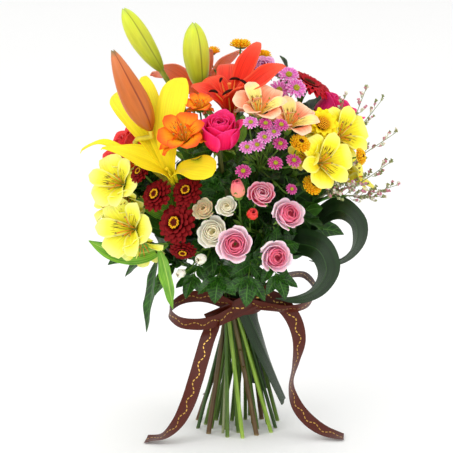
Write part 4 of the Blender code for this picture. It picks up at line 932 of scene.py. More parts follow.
def petal_tissue(name, stops, ranks=None, mixed=0.5, vein=0.1, gloss=0.5, glow=0.08, streak=None, rim=None):
    """A petal's colour along its length, mixed with a colour by its rank, and its veins."""
    tree, shader, where, (along, across, own) = new_tissue(
        name, Roughness=gloss, Subsurface_Weight=glow, Subsurface_Scale=0.002, Specular_IOR_Level=0.2,
        IOR=1.4,
    )
    colour = ramp(tree, along, stops)
    if ranks:
        by_rank = ramp(tree, own, ranks)
        colour = add(tree, "Mix", {0: mixed, 6: colour, 7: by_rank}, data_type="RGBA").outputs[2]
    if streak:
        code, low, high, fine = streak
        dashes = grain(tree, where, (5.0, fine, 31.0), 1.0)
        marks = add(tree, "MapRange", {0: dashes, 1: 0.53, 2: 0.6}).outputs[0]
        rise = add(tree, "MapRange", {0: along, 1: low, 2: low + 0.12}).outputs[0]
        fall = add(tree, "MapRange", {0: along, 1: high - 0.12, 2: high, 3: 1.0, 4: 0.0}).outputs[0]
        for inside in (rise, fall):
            marks = add(tree, "Math", {0: marks, 1: inside}, operation="MULTIPLY").outputs[0]
        colour = add(tree, "Mix", {0: marks, 6: colour, 7: linear(code)}, data_type="RGBA").outputs[2]
    # Towards the edges and the tip the colour turns to the rim colour. On most flowers this is the petal's
    # own edge colour; on the hot pink roses it is a painted highlight along the petals' lips, and on the
    # orange lily a painted highlight along the tepals' edges.
    if rim:
        out = add(tree, "Math", {0: across}, operation="ABSOLUTE").outputs[0]
        edge = add(tree, "Math", {0: out, 1: along}, operation="MAXIMUM").outputs[0]
        pale = add(tree, "MapRange", {0: edge, 1: 0.72, 2: 1.0, 3: 0.0, 4: 0.75}).outputs[0]
        colour = add(tree, "Mix", {0: pale, 6: colour, 7: linear(rim)}, data_type="RGBA").outputs[2]
    veins = grain(tree, where, (2.2, 13.0, 23.0), 3.0)
    veined(tree, shader, colour, veins, 1.0 - vein, 1.0 + vein, 0.35, 0.0004)


# %% Lily and rose petals
petal_tissue(
    "yellow_lily", [(0, "a8a810"), (0.2, "e4cc14"), (0.55, "f4e424"), (1, "f8ec3c")],
    glow=0.12, rim="f4d81c",
)
# The orange lily's pale rim is a painted highlight along the edges of its tepals.
petal_tissue(
    "orange_lily", [(0, "b8400c"), (0.2, "e0480c"), (0.45, "dc240c"), (0.85, "e8341c"), (1, "f06038")],
    vein=0.2, gloss=0.42, streak=("6c0c08", 0.14, 0.42, 15.0), rim="f05a38",
)
# The back lily is the same red-orange lily with its colours lightened: partly for the paler backs of its
# tepals, and partly as painted light on tepals that face away from the lamps.
petal_tissue(
    "salmon_lily", [(0, "d0480c"), (0.25, "fc6830"), (0.6, "ff8054"), (1, "ff9878")],
    vein=0.16, rim="fca488", glow=0.75,
)
# The hot pink rose's pale rim is a painted highlight along the lips of its petals.
petal_tissue(
    "hot_pink_rose", [(0, "c80038"), (0.6, "f00c54"), (1, "fb1c6c")],
    ranks=[(0, "c00024"), (0.4, "e00034"), (0.8, "f41054"), (1, "f81c64")], mixed=0.6,
    rim="f8408c", glow=0.28,
)
petal_tissue(
    "coral_rose", [(0, "d02814"), (0.6, "f43c2c"), (1, "f4505c")],
    ranks=[(0, "cc1c14"), (1, "f44838")], glow=0.25,
)
petal_tissue(
    "magenta_rose", [(0, "c80058"), (0.6, "f0186c"), (1, "f83c8c")],
    ranks=[(0, "a80038"), (1, "f42c80")], glow=0.15,
)
petal_tissue(
    "pale_pink_rose", [(0, "f8c8d4"), (0.6, "f8c0d0"), (1, "fce4e8")],
    ranks=[(0, "dc084c"), (0.25, "f03c78"), (0.42, "f888ac"), (0.58, "fccadc"), (1, "fdecf0")],
    mixed=0.8, vein=0.04, glow=0.2,
)
# This spray rose's pale rim is a painted highlight along the lips of its petals.
petal_tissue(
    "hot_spray_rose", [(0, "f090a8"), (0.5, "f0487c"), (1, "f45c8c")],
    ranks=[(0, "d00840"), (0.5, "f04478"), (1, "f890a8")], rim="fdd4dc", glow=0.35,
)
petal_tissue(
    "peach_bud", [(0, "c8b430"), (0.3, "e8a070"), (0.6, "f08c80"), (1, "ee6c80")],
    ranks=[(0, "e0406c"), (1, "f4a084")], mixed=0.3,
)
petal_tissue(
    "cream_rose", [(0, "f8f2c8"), (0.6, "fffae4"), (1, "fffdf0")],
    ranks=[(0, "f8e8b0"), (0.4, "fff6dc"), (1, "fffdf4")], mixed=0.6, vein=0.02, glow=0.1,
)
petal_tissue(
    "tan_edged_rose", [(0, "f6f0c8"), (0.6, "fbf4d8"), (1, "f4dcb0")],
    ranks=[(0, "e4b878"), (0.4, "f8e8c4"), (1, "fdf8e4")], mixed=0.6, vein=0.04, rim="e8c898", glow=0.35,
)
petal_tissue(
    "lilac_rose", [(0, "e090cc"), (0.6, "e884c8"), (1, "f8b4e4")],
    ranks=[(0, "c850a8"), (1, "f4b0e0")], rim="fcd0f0", glow=0.3,
)

# %% Alstroemeria tepals, plain and streaked
PEACH_STREAKED = [(0, "d0c02c"), (0.4, "f8e06c"), (0.8, "fae88c"), (1, "f4a878")]
for name, stops, streaked, code, reach, vein, rim in (
    ("lemon", [(0, "98a828"), (0.3, "e4e024"), (0.6, "f8f040"), (1, "f0ee74")], None,
     "6a5c1a", 0.66, 0.12, "f8f69c"),
    ("yellow", [(0, "a8a020"), (0.3, "f0d820"), (0.7, "faec30"), (1, "f4f060")], None,
     "5c3008", 0.66, 0.12, "fbf690"),
    ("orange", [(0, "c8a010"), (0.3, "fcc024"), (0.65, "fa9a18"), (1, "f4601c")], None,
     "b02008", 0.75, 0.12, "ee4818"),
    ("peach", [(0, "c0a828"), (0.25, "f8cc70"), (0.5, "f4845c"), (0.8, "f8a47c"), (1, "f8c49c")],
     PEACH_STREAKED, "6c1418", 0.66, 0.2, "fddcb8"),
):
    petal_tissue(name + "_tepal", stops, rim=rim, glow=0.14, vein=vein)
    petal_tissue(name + "_streaked", streaked or stops, streak=(code, 0.2, reach, 13.0), rim=rim, glow=0.12)

# %% Straps, discs, stamens and florets
petal_tissue(
    "crimson_mum", [(0, "280206"), (0.5, "5c0206"), (1, "84060c")], vein=0.25, gloss=0.6, glow=0.02,
)
petal_tissue(
    "crimson_gerbera", [(0, "40020a"), (0.6, "980414"), (1, "c40c20")], vein=0.16, gloss=0.6, glow=0.05,
)
petal_tissue(
    "lilac_daisy", [(0, "f8d8f0"), (0.2, "e488cc"), (0.6, "d84cac"), (1, "e484c8")],
    ranks=[(0, "b02484"), (0.5, "d850a8"), (1, "e884cc")], mixed=0.35, rim="f8c4e8",
)
petal_tissue(
    "magenta_daisy", [(0, "e07cb4"), (0.3, "b8146c"), (1, "c82c84")],
    ranks=[(0, "980c58"), (1, "d03c94")], mixed=0.4, rim="e888bc",
)
petal_tissue("golden_button", [(0, "ec9c08"), (0.5, "ffb80c"), (1, "ffd024")], vein=0.06, glow=0.5)
petal_tissue("golden_mum", [(0, "d89c08"), (0.4, "f8cc08"), (1, "fbe820")])
for name, low, middle, high in (
    ("disc_gold", "a86c08", "e8a410", "f8cc2c"),
    ("disc_amber", "c0700c", "eca014", "fcc02c"),
    ("disc_green", "747010", "b0ac24", "dcd450"),
):
    petal_tissue(name, [(0, low), (0.6, middle), (1, high)], vein=0.2, gloss=0.7)
petal_tissue(
    "disc_brown", [(0, "241006"), (0.6, "4c2008"), (1, "6c340c")], vein=0.25, gloss=0.7, glow=0.02,
)
petal_tissue("filament", [(0, "d0b830"), (0.6, "f0a040"), (1, "ec7c38")], vein=0.05)
petal_tissue(
    "anther_pollen", [(0, "1c0c08"), (0.5, "341408"), (1, "240e08")], vein=0.3, gloss=0.85, glow=0.0,
)
petal_tissue("alstro_anther", [(0, "7c6c2c"), (1, "b09c4c")], vein=0.2, gloss=0.8)
for shade, low, high in (
    ("white", "c8c8a8", "ece8d8"), ("rose", "b07c80", "d88ca0"), ("olive", "6c7444", "98a06c"),
):
    petal_tissue("sea_lavender_" + shade, [(0, low), (1, high)], vein=0.15, gloss=0.7)
print(len(FINISHES), "petal finishes")

# %% [markdown]
# A leaf's upper side is waxed, so it is glossier than a petal. The midrib and the side veins
# are paler than the blade, and they are sunk into it. The folded aspidistra leaves have no side
# veins: theirs run side by side from end to end. A stem's bark is streaked along its fibres and
# pale at the fresh cut, and a bud's husk is matt, with a dark groove where two tepals meet.


# %% Leaf and stem finishes
def leaf_tissue(name, codes, vein_code, gloss, side_veins=0.0, lines=0.0, midrib=0.05):
    """A leaf's mottled green, its midrib, and its side veins or its lengthwise lines."""
    tree, shader, where, places = new_tissue(
        name, Roughness=gloss, Subsurface_Weight=0.03, Subsurface_Scale=0.0015, Coat_Weight=0.1,
        Coat_Roughness=0.3, Specular_IOR_Level=0.32, IOR=1.45,
    )
    along, across = places[:2]
    patches = grain(tree, where, (4.0, 3.0, 19.0), 4.0)
    green = ramp(tree, patches, list(zip((0.3, 0.5, 0.72), codes)))
    out = add(tree, "Math", {0: across}, operation="ABSOLUTE").outputs[0]
    rib = add(tree, "MapRange", {0: out, 1: midrib * 0.5, 2: midrib * 1.6, 3: 1.0, 4: 0.0}).outputs[0]
    if side_veins:
        run = add(tree, "Math", {0: out, 1: -0.12, 2: along}, operation="MULTIPLY_ADD").outputs[0]
        count, fine, wide, strength = side_veins, 0.04, 0.14, 0.55
    else:
        run, count, fine, wide, strength = across, lines, 0.05, 0.4, 0.35
    stepped = add(tree, "Math", {0: run, 1: count}, operation="MULTIPLY").outputs[0]
    saw = add(tree, "Math", {0: stepped, 1: 0.5}, operation="PINGPONG").outputs[0]
    veins = add(tree, "MapRange", {0: saw, 1: fine, 2: wide, 3: strength, 4: 0.0}).outputs[0]
    marks = add(tree, "Math", {0: rib, 1: veins}, operation="MAXIMUM").outputs[0]
    colour = add(tree, "Mix", {0: marks, 6: green, 7: linear(vein_code)}, data_type="RGBA").outputs[2]
    sunk = add(tree, "Math", {0: patches, 1: marks}, operation="SUBTRACT").outputs[0]
    cover(tree, shader, colour, sunk, 0.4, 0.0006)


leaf_tissue("dark_rose_leaf", ("0e2606", "1c440a", "336814"), "487c28", 0.34, side_veins=9.0)
leaf_tissue("dark_mum_leaf", ("12280a", "1c3c10", "2c5418"), "44702c", 0.48, side_veins=6.0)
leaf_tissue("bright_lily_leaf", ("3f7c10", "5c9c18", "82b828"), "a8cc58", 0.36, lines=5.0, midrib=0.08)
leaf_tissue("alstroemeria_leaf", ("1e440e", "2e6018", "427c24"), "6ca040", 0.4, lines=6.0)
# The aspidistra's greens are its own deep green made darker still, as painted shade for the tails and loops
# that stand in the shade under the blooms.
leaf_tissue("aspidistra_leaf", ("081606", "10260b", "1b3812"), "2f4f22", 0.42, lines=22.0, midrib=0.035)
leaf_tissue("sepal_green", ("3c6418", "547c20", "6c942c"), "8cac44", 0.5, lines=3.0)


def stem_bark(name, stops, codes):
    """A stem's skin: its colour from the cut end up, streaked along its length."""
    tree, shader, where, places = new_tissue(
        name, Roughness=0.45, Subsurface_Weight=0.04, Subsurface_Scale=0.001, IOR=1.45,
    )
    fibres = grain(tree, where, (14.0, 3.0, 41.0), 4.0)
    streaks = ramp(tree, fibres, list(zip((0.35, 0.65), codes)))
    length = ramp(tree, places[0], stops)
    colour = add(tree, "Mix", {0: 0.5, 6: length, 7: streaks}, data_type="RGBA").outputs[2]
    cover(tree, shader, colour, fibres, 0.4, 0.0004)


for name, cut, low, middle, high, codes in (
    ("green_stem", "c8cc90", "506c1c", "40641a", "548424", ("2a4410", "6c8c2c")),
    ("light_stem", "d8dca0", "8cac34", "6c9028", "5c8c28", ("5c8020", "a4c44c")),
    ("brown_stem", "b8a878", "5c3c20", "4c4420", "4c6824", ("382414", "705c30")),
):
    stem_bark(name, [(0, cut), (0.006, low), (0.3, middle), (1, high)], codes)
stem_bark("yellow_stalk", [(0, "5c7418"), (0.6, "b8b020"), (1, "d8b824")], ("a89c14", "e8d830"))
stem_bark("bud_stalk", [(0, "4c6c18"), (0.5, "6c7c18"), (1, "98a024")], ("48580e", "a0a42c"))
stem_bark("dark_stem", [(0, "a0a878"), (0.006, "2e4a1a"), (1, "34561e")], ("22380f", "3c5c22"))
stem_bark("twig_stem", [(0, "a0a878"), (1, "8c9470")], ("747c54", "9aa27c"))


def bud_husk(name, stops, groove_code):
    """A lily bud's husk: its colour along the bud, darker in the grooves between its tepals."""
    tree, shader, where, places = new_tissue(
        name, Roughness=0.42, Subsurface_Weight=0.1, Subsurface_Scale=0.002, IOR=1.45,
    )
    along, across = places[:2]
    turn = add(tree, "Math", {0: across, 1: 3 * math.pi}, operation="MULTIPLY").outputs[0]
    ridge = add(tree, "Math", {0: turn}, operation="COSINE").outputs[0]
    groove = add(tree, "MapRange", {0: ridge, 1: -0.997, 2: -0.95, 3: 0.75, 4: 0.0}).outputs[0]
    husk = ramp(tree, along, stops)
    colour = add(tree, "Mix", {0: groove, 6: husk, 7: linear(groove_code)}, data_type="RGBA").outputs[2]
    veined(tree, shader, colour, grain(tree, where, (3.0, 12.0, 7.0), 3.0), 0.88, 1.1, 0.3, 0.0005)


bud_husk(
    "green_bud",
    [(0, "909c1c"), (0.25, "b4bc20"), (0.6, "ccd02c"), (0.88, "d0dc34"), (1, "b8cc50")], "7c8010",
)
bud_husk(
    "russet_bud",
    [(0, "a85c10"), (0.3, "bc6010"), (0.65, "c86828"), (0.92, "d07844"), (1, "7c7048")], "701804",
)
print(len(FINISHES), "finishes")

# %% [markdown]
# Most petals leave the flower on one side: they rise from the base, lean out and end in a tip.
# Such a petal is drawn by a side view, as (distance from the axis, height, half width) stops
# on a flower one unit wide. Numbers drawn from a seeded generator make every petal a little
# different, because no two real ones are alike.

# %% A petal on one side of the axis
chance = np.random.default_rng(20)
GOLDEN_ANGLE = 2.39996  # radians from one petal or floret of a spiral to the next
UP = np.array([0.0, 0.0, 1.0])


def outwards(turn):
    """The level direction at this angle round a flower's axis."""
    return np.array([math.cos(turn), math.sin(turn), 0.0])


def petal(stops, azimuth, finish, rows=7, cols=5, cup=0.2, ruffle=0.0, waves=2.0, own=None, thick=0.012):
    """A petal of a flower one unit wide, cupped towards the axis and ruffled at its edges."""
    line = smooth_line(stops, rows, 2)
    out = outwards(azimuth)
    side = np.array([-out[1], out[0], 0.0])
    rib = line[:, :1] * out + line[:, 1:2] * UP
    widths = np.maximum(line[:, 2], 0.004)
    own = chance.uniform() if own is None else own
    reach = np.linspace(-1, 1, cols)[None]
    along = np.linspace(0, 1, rows)[:, None]
    wave = ruffle * np.sin(2 * math.pi * (waves * along + own + 0.25 * (reach > 0))) * reach**2
    lift = widths[:, None] * (cup * np.abs(reach) ** 1.6 - 0.05 * np.exp(-(reach / 0.2) ** 2) + wave)
    return sheet(blade_grid(rib, side, widths, cols, lift), thick, finish, own)


def ray_ring(count, stops, finish, phase, rows=5, cols=3, **more):
    """A ring of narrow petals, each a little off its place."""
    bits = []
    for index in range(count):
        azimuth = 2 * math.pi * (index + phase + chance.uniform(-0.2, 0.2)) / count
        size = 1 + chance.uniform(-0.05, 0.05)
        grown = [(reach * size, rise + 0.3 * (size - 1) * reach, half) for reach, rise, half in stops]
        bits.append(petal(grown, azimuth, finish, rows, cols, **more))
    return bits


def florets(count, radius, height, crown, finish, fine, inner=0.0):
    """Tiny florets packed on a dome in a sunflower's spiral."""
    bits = []
    for index in range(count):
        share = inner + (1 - inner) * (index + 0.5) / count
        reach, turn = radius * math.sqrt(share), GOLDEN_ANGLE * index
        foot = np.array([reach * math.cos(turn), reach * math.sin(turn), height + crown * (1 - share)])
        lean = unit((0.5 * foot[0], 0.5 * foot[1], radius))
        line = [foot - fine * lean, foot + fine * lean, foot + 1.6 * fine * lean]
        rings = round_line(line, [0.9 * fine, fine, 0.35 * fine], 5)
        bits.append(skin(rings, finish, chance.uniform()))
    return bits


def calyx(radius, high):
    """The green cup under a flower head."""
    rows = [(0.02, -0.02), (0.7 * radius, 0.0), (radius, (high - 0.02) / 2), (0.9 * radius, high)]
    return [skin(turned(rows, 12), "sepal_green")]


def disc(rows, finish):
    """The cushion that carries a head's florets, through (radius, height) rows."""
    return [skin(turned(rows, 12), finish)]


# %% [markdown]
# Daisies, chrysanthemums, buttons and gerberas are all made of small flowers: a ring or more of
# straps round a disc of florets. The crimson chrysanthemums have a ring of gold round a brown
# middle. The button is straps all the way in, shorter and steeper towards its pit.


# %% Daisies, chrysanthemums, buttons and gerberas
def daisy(finish):
    bits = calyx(0.17, 0.1)
    for count, phase, stops in (
        (14, 0.0, [(0.1, 0.08, 0.04), (0.3, 0.13, 0.066), (0.45, 0.13, 0.068), (0.52, 0.1, 0.03)]),
        (11, 0.5, [(0.1, 0.1, 0.04), (0.26, 0.18, 0.06), (0.37, 0.2, 0.064), (0.43, 0.2, 0.03)]),
    ):
        bits += ray_ring(count, stops, finish, phase, cup=0.25, thick=0.02)
    bits += disc([(0.15, 0.08), (0.15, 0.17), (0.1, 0.22), (0.02, 0.23)], "disc_green")
    return bits + florets(26, 0.14, 0.19, 0.05, "disc_green", 0.022)


def crimson_mum():
    bits = calyx(0.17, 0.09)
    for count, reach, rise, phase in (
        (15, 0.54, 0.08, 0.0), (14, 0.5, 0.15, 0.5), (12, 0.41, 0.22, 0.2), (10, 0.3, 0.26, 0.7),
    ):
        stops = [
            (0.1, 0.06, 0.03), (0.55 * reach, 0.3 * rise + 0.07, 0.065), (0.88 * reach, rise, 0.08),
            (reach, rise - 0.02, 0.04),
        ]
        bits += ray_ring(count, stops, "crimson_mum", phase, cup=-0.2, thick=0.014)
    bits += disc([(0.14, 0.08), (0.15, 0.18), (0.1, 0.23), (0.02, 0.23)], "disc_brown")
    bits += florets(30, 0.145, 0.22, 0.02, "disc_gold", 0.022, 0.5)
    return bits + florets(12, 0.08, 0.225, 0.01, "crimson_mum", 0.018)


def golden_mum():
    bits = calyx(0.17, 0.09)
    for count, reach, rise, phase in ((12, 0.56, 0.12, 0.0), (11, 0.5, 0.2, 0.5), (10, 0.42, 0.27, 0.2)):
        stops = [
            (0.1, 0.06, 0.03), (0.55 * reach, 0.4 * rise + 0.06, 0.08), (0.84 * reach, rise, 0.1),
            (reach, rise, 0.03),
        ]
        bits += ray_ring(count, stops, "golden_mum", phase, cup=0.2, thick=0.014)
    bits += disc([(0.18, 0.08), (0.19, 0.2), (0.12, 0.25), (0.02, 0.26)], "disc_brown")
    return bits + florets(60, 0.2, 0.22, 0.05, "disc_amber", 0.024)


def button():
    bits = calyx(0.26, 0.14)
    for count, reach, rise, foot, phase in (
        (18, 0.5, 0.14, 0.2, 0.0), (17, 0.47, 0.23, 0.2, 0.5), (15, 0.41, 0.31, 0.18, 0.2),
        (13, 0.34, 0.36, 0.16, 0.6), (11, 0.26, 0.385, 0.13, 0.1), (9, 0.18, 0.37, 0.1, 0.7),
    ):
        stops = [
            (foot, 0.4 * rise, 0.03), (0.8 * reach, 0.85 * rise, 0.05), (reach, rise, 0.045),
            (0.98 * reach, rise + 0.03, 0.025),
        ]
        bits += ray_ring(count, stops, "golden_button", phase, cup=0.3, thick=0.02)
    bits += disc([(0.24, 0.1), (0.22, 0.24), (0.12, 0.31), (0.02, 0.32)], "golden_button")
    return bits + florets(14, 0.1, 0.33, 0.02, "disc_brown", 0.028)


def gerbera():
    bits = calyx(0.14, 0.07)
    for count, reach, rise, phase in ((22, 0.5, 0.1, 0.0), (20, 0.47, 0.14, 0.5), (17, 0.36, 0.17, 0.2)):
        stops = [
            (0.1, 0.05, 0.02), (0.5 * reach, 0.6 * rise + 0.03, 0.042), (0.9 * reach, rise, 0.05),
            (reach, rise - 0.03, 0.022),
        ]
        bits += ray_ring(count, stops, "crimson_gerbera", phase, rows=6, cup=0.15, thick=0.01)
    fringe = [(0.08, 0.1, 0.01), (0.14, 0.17, 0.02), (0.2, 0.19, 0.012)]
    bits += ray_ring(26, fringe, "crimson_gerbera", 0.0, rows=3, thick=0.01)
    bits += disc([(0.14, 0.06), (0.13, 0.14), (0.08, 0.16), (0.02, 0.16)], "disc_brown")
    return bits + florets(40, 0.12, 0.15, 0.02, "disc_brown", 0.014)


# %% [markdown]
# A rose petal is bent round the flower's axis. The heart is a tight spiral, and each petal
# further out is wider, opens more and rolls its lip back. So a petal is drawn by two side
# views, one for the heart and one for the outside, and mixed by its rank between the two.

# %% Roses
ROSE_HEART = [(0.03, 0.15), (0.1, 0.3), (0.13, 0.52), (0.115, 0.68), (0.07, 0.78)]
ROSE_GUARD = [(0.06, 0.0), (0.32, 0.1), (0.455, 0.36), (0.47, 0.68), (0.55, 0.74)]
OPEN_HEART = [(0.03, 0.12), (0.09, 0.18), (0.12, 0.32), (0.11, 0.42), (0.07, 0.47)]
OPEN_GUARD = [(0.05, 0.0), (0.3, 0.05), (0.44, 0.18), (0.49, 0.33), (0.53, 0.35)]
BUD_HEART = [(0.03, 0.2), (0.12, 0.35), (0.17, 0.6), (0.12, 0.85), (0.05, 1.0)]
BUD_GUARD = [(0.08, 0.1), (0.26, 0.22), (0.33, 0.42), (0.28, 0.7), (0.2, 0.93)]


def wrapped_petal(azimuth, path, half_turn, finish, rank, peak, rows, cols, thick):
    """A petal bent round the axis, with one edge tucked in and the other laid over its neighbour."""
    line = smooth_line(path, rows)[:, :, None]
    reach = np.linspace(-1, 1, cols)[None]
    wrap = eased([(0, 0.4), (0.3, 0.8), (0.65, 1), (0.88, 0.9), (1, 0.62)], rows)[:, None]
    along = np.linspace(0, 1, rows)[:, None]
    radius = line[:, 0] * (1 + 0.07 * reach) + 0.02 * along**3 * np.sin(3 * reach + 9 * rank)
    height = line[:, 1] - 0.1 * along**2 * np.abs(reach) ** 2.5 + peak * along**4 * (1 - np.abs(reach)) ** 2
    angle = azimuth + half_turn * wrap * reach
    grid = np.stack([radius * np.cos(angle), radius * np.sin(angle), height + 0 * angle], 2)
    return sheet(grid, thick, finish, rank)


def rose_head(finish, count, heart, guard, turns, peak, lean, rows, cols, thick):
    """A rose from its spiral heart to its guard petals."""
    bits = []
    for index in range(count):
        rank = (index + 0.5) / count
        part = rank**lean
        path = [
            (r0 * (1 - part) + r1 * part, z0 * (1 - part) + z1 * part + chance.uniform(-0.012, 0.012))
            for (r0, z0), (r1, z1) in zip(heart, guard)
        ]
        half_turn = turns[0] * (1 - rank) ** 2 + turns[1] + 0.3 * rank * (1 - rank)
        azimuth = GOLDEN_ANGLE * index + chance.uniform(-0.15, 0.15)
        bits.append(wrapped_petal(azimuth, path, half_turn, finish, rank, peak * rank, rows, cols, thick))
    return bits


def hip_and_sepals(reach, rise, drop, width=0.05, hip=0.1):
    """The rose's hip, and five pointed sepals that hug the bud or bend back."""
    bits = disc([(0.03, -0.02), (0.8 * hip, 0.0), (hip, 0.06), (0.8 * hip, 0.12)], "sepal_green")
    for index in range(5):
        stops = [
            (0.6 * hip, 0.06, width), (0.5 * reach, 0.5 * rise, width),
            (0.85 * reach, 0.8 * rise, 0.7 * width), (reach, rise - drop, 0.1 * width),
        ]
        bits.append(petal(stops, 2 * math.pi * index / 5, "sepal_green", cup=-0.2))
    return bits


def rose(finish):
    bits = rose_head(finish, 18, ROSE_HEART, ROSE_GUARD, (2.4, 0.86), 0.04, 1.1, 12, 11, 0.012)
    return bits + hip_and_sepals(0.44, 0.1, 0.1)


def spray_rose(finish):
    bits = rose_head(finish, 22, OPEN_HEART, OPEN_GUARD, (1.6, 0.68), 0.0, 0.9, 8, 9, 0.014)
    return bits + hip_and_sepals(0.42, 0.04, 0.1)


def rose_bud(finish):
    bits = rose_head(finish, 8, BUD_HEART, BUD_GUARD, (1.6, 1.15), 0.0, 0.8, 8, 9, 0.02)
    return bits + hip_and_sepals(0.34, 0.6, 0.0, 0.12, 0.2)


# %% [markdown]
# An alstroemeria has six tepals. Three broad outer ones with a nicked tip spread into a
# triangle, and between them stand three narrow ones, two of which carry the dark streaks. Six
# stamens curve out of the throat.


# %% Alstroemerias
def alstroemeria(outer, inner):
    ovary = turned([(0.03, -0.02), (0.075, 0.02), (0.085, 0.1), (0.05, 0.15)], 12, 6, 0.08)
    bits = [skin(ovary, "sepal_green")]
    for index in range(3):
        azimuth = 2 * math.pi * index / 3
        size = 1 + chance.uniform(-0.05, 0.05)
        broad = [
            (0.03, 0.1, 0.03), (0.14, 0.26, 0.13), (0.28, 0.39, 0.24), (0.42, 0.46, 0.26),
            (0.52 * size, 0.48, 0.17), (0.56 * size, 0.47, 0.03),
        ]
        bits.append(petal(broad, azimuth, outer, 12, 9, 0.25, 0.14, 1.5, thick=0.01))
        narrow = [
            (0.02, 0.1, 0.03), (0.1, 0.28, 0.09), (0.24, 0.42, 0.15), (0.4, 0.52, 0.17),
            (0.52 * size, 0.57, 0.09), (0.56 * size, 0.58, 0.012),
        ]
        finish = inner if index else outer
        bits.append(petal(narrow, azimuth + math.pi / 3, finish, 12, 7, 0.3, 0.08, 1.5, thick=0.01))
    for index in range(6):
        turn = 2 * math.pi * (index + 0.4) / 6 + chance.uniform(-0.2, 0.2)
        out = outwards(turn)
        reach = chance.uniform(0.1, 0.2)
        line = smooth_line([0.03 * out + 0.12 * UP, 0.07 * out + 0.35 * UP, reach * out + 0.52 * UP], 6)
        bits.append(skin(round_line(line, 0.01, 5), "filament"))
        head = [line[-1], line[-1] + 0.02 * UP, line[-1] + 0.05 * UP + 0.01 * out]
        bits.append(skin(round_line(head, [0.012, 0.022, 0.008], 6), "alstro_anther"))
    return bits


# %% [markdown]
# The lilies are the largest flowers, so each tepal gets its own tip, read off the photograph.
# It climbs out of the throat along the axis, bends over at its shoulder and curls back at the
# tip, with a sunken midrib and wavy margins. The long filaments carry swinging brown anthers.

# %% Lilies and their buds
TEPAL_THICK = 0.9
# How wide a tepal is along its length, as a share of its greatest width
TEPAL_SHAPES = {
    "spoon": [
        (0, 0.2), (0.25, 0.3), (0.5, 0.62), (0.7, 0.95), (0.84, 1.0), (0.94, 0.84), (0.98, 0.6), (1, 0.3),
    ],
    "swan": [
        (0, 0.2), (0.15, 0.42), (0.35, 0.86), (0.5, 1.0), (0.62, 0.8), (0.74, 0.42), (0.87, 0.22),
        (1, 0.03),
    ],
    "broad": [(0, 0.24), (0.25, 0.5), (0.5, 0.86), (0.7, 1.0), (0.86, 0.9), (0.95, 0.62), (1, 0.15)],
    "pointed": [(0, 0.24), (0.25, 0.55), (0.5, 0.92), (0.66, 1.0), (0.82, 0.78), (0.93, 0.42), (1, 0.03)],
    "strap": [(0, 0.4), (0.4, 0.9), (0.7, 1.0), (0.84, 0.5), (0.94, 0.62), (1, 0.3)],
}
# How each tepal looks, in the order of the tips: its shape, half its width, how far it arches
TEPAL_LOOKS = {
    "lily_yellow_bloom": [
        ("spoon", 17.5, 0), ("swan", 16.5, 0), ("strap", 4.6, 9), ("broad", 16, 0), ("pointed", 13.5, 0),
        ("broad", 18, 0),
    ],
    "lily_orange_bloom": [
        ("pointed", 17, 0), ("pointed", 12, 0), ("broad", 15, 0), ("broad", 16, 0), ("pointed", 16, 0),
        ("pointed", 13, 0),
    ],
    "lily_back_bloom": [
        ("pointed", 16, 0), ("broad", 12.5, 0), ("pointed", 15, 0), ("pointed", 15, 0), ("pointed", 13, 0),
        ("broad", 14, 0),
    ],
}


def lily(name, entry, finish):
    """An open lily: six tepals to their own tips, six stamens and a style."""
    base, ahead = entry["base"], entry["facing"]
    turn = axes(ahead)
    shorn = finish == "yellow_lily"  # florists pluck the anthers, and this lily has lost its own
    thread = finish if shorn else "filament"
    bits = []
    rows, cols = 28, 13
    for index, (shape, half, arch) in enumerate(TEPAL_LOOKS[name]):
        tip = LILY_TIPS[name][index][0]
        rib = smooth_line(tepal_rib(base, ahead, tip, rows), rows)
        rib[:, 2] += arch * np.exp(-((np.linspace(0, 1, rows) - 0.74) / 0.17) ** 2)
        flat = turn @ (rib[-1] - base)
        azimuth = math.atan2(flat[1], flat[0])
        side = outwards(azimuth + math.pi / 2) @ turn
        widths = half * eased(TEPAL_SHAPES[shape], rows)
        reach, along = np.linspace(-1, 1, cols)[None], np.linspace(0, 1, rows)[:, None]
        wave = 0.1 * np.sin(2 * math.pi * (2.5 * along + 0.37 * index + 0.3 * (reach > 0))) * reach**2
        cup = (0.34 - 0.5 * along**2) * np.abs(reach) ** 1.7
        keel = -0.1 * np.exp(-(reach / 0.14) ** 2) * (1 - along)
        lift = widths[:, None] * (cup + wave + keel)
        grid = blade_grid(rib, side, widths, cols, lift)
        bits.append(sheet(grid, TEPAL_THICK, finish, (index + 0.5) / 6))
    for index in range(6):
        out = outwards(math.pi / 3 * index + 0.3)
        rise, wide = 46 + 5 * (index % 2), 15 + 5 * ((index + 1) % 2)
        if shorn:
            stops = [3 * out + 4 * UP, 4 * out + 13 * UP, 0.4 * wide * out + 0.45 * rise * UP]
        else:
            stops = [3 * out + 6 * UP, 6 * out + 24 * UP, wide * out + rise * UP]
        line = smooth_line(stops, 10) @ turn + base
        bits.append(skin(round_line(line, [0.9] * 5 + [0.8] * 3 + [0.5, 0.3], 8), thread))
        if not shorn:
            across = unit(np.cross(out, UP) * 0.8 + 0.5 * out - 0.25 * UP) @ turn
            steps = np.linspace(-1, 1, 7)
            arc = 7.0 * steps[:, None] * across + 2.2 * steps[:, None] ** 2 * -ahead
            anther = round_line(line[-1] + 0.3 * ahead + arc, 1.6 * np.sqrt(1.05 - steps**2), 8)
            bits.append(skin(anther, "anther_pollen"))
    tall = 24 if shorn else 52
    tip = base + tall * ahead + 2 * turn[0]
    style = smooth_line([base + 8 * ahead, base + 0.6 * tall * ahead, tip], 10)
    bits.append(skin(round_line(style, [1.1] * 8 + [1.7, 2.2], 8), thread))
    return bits


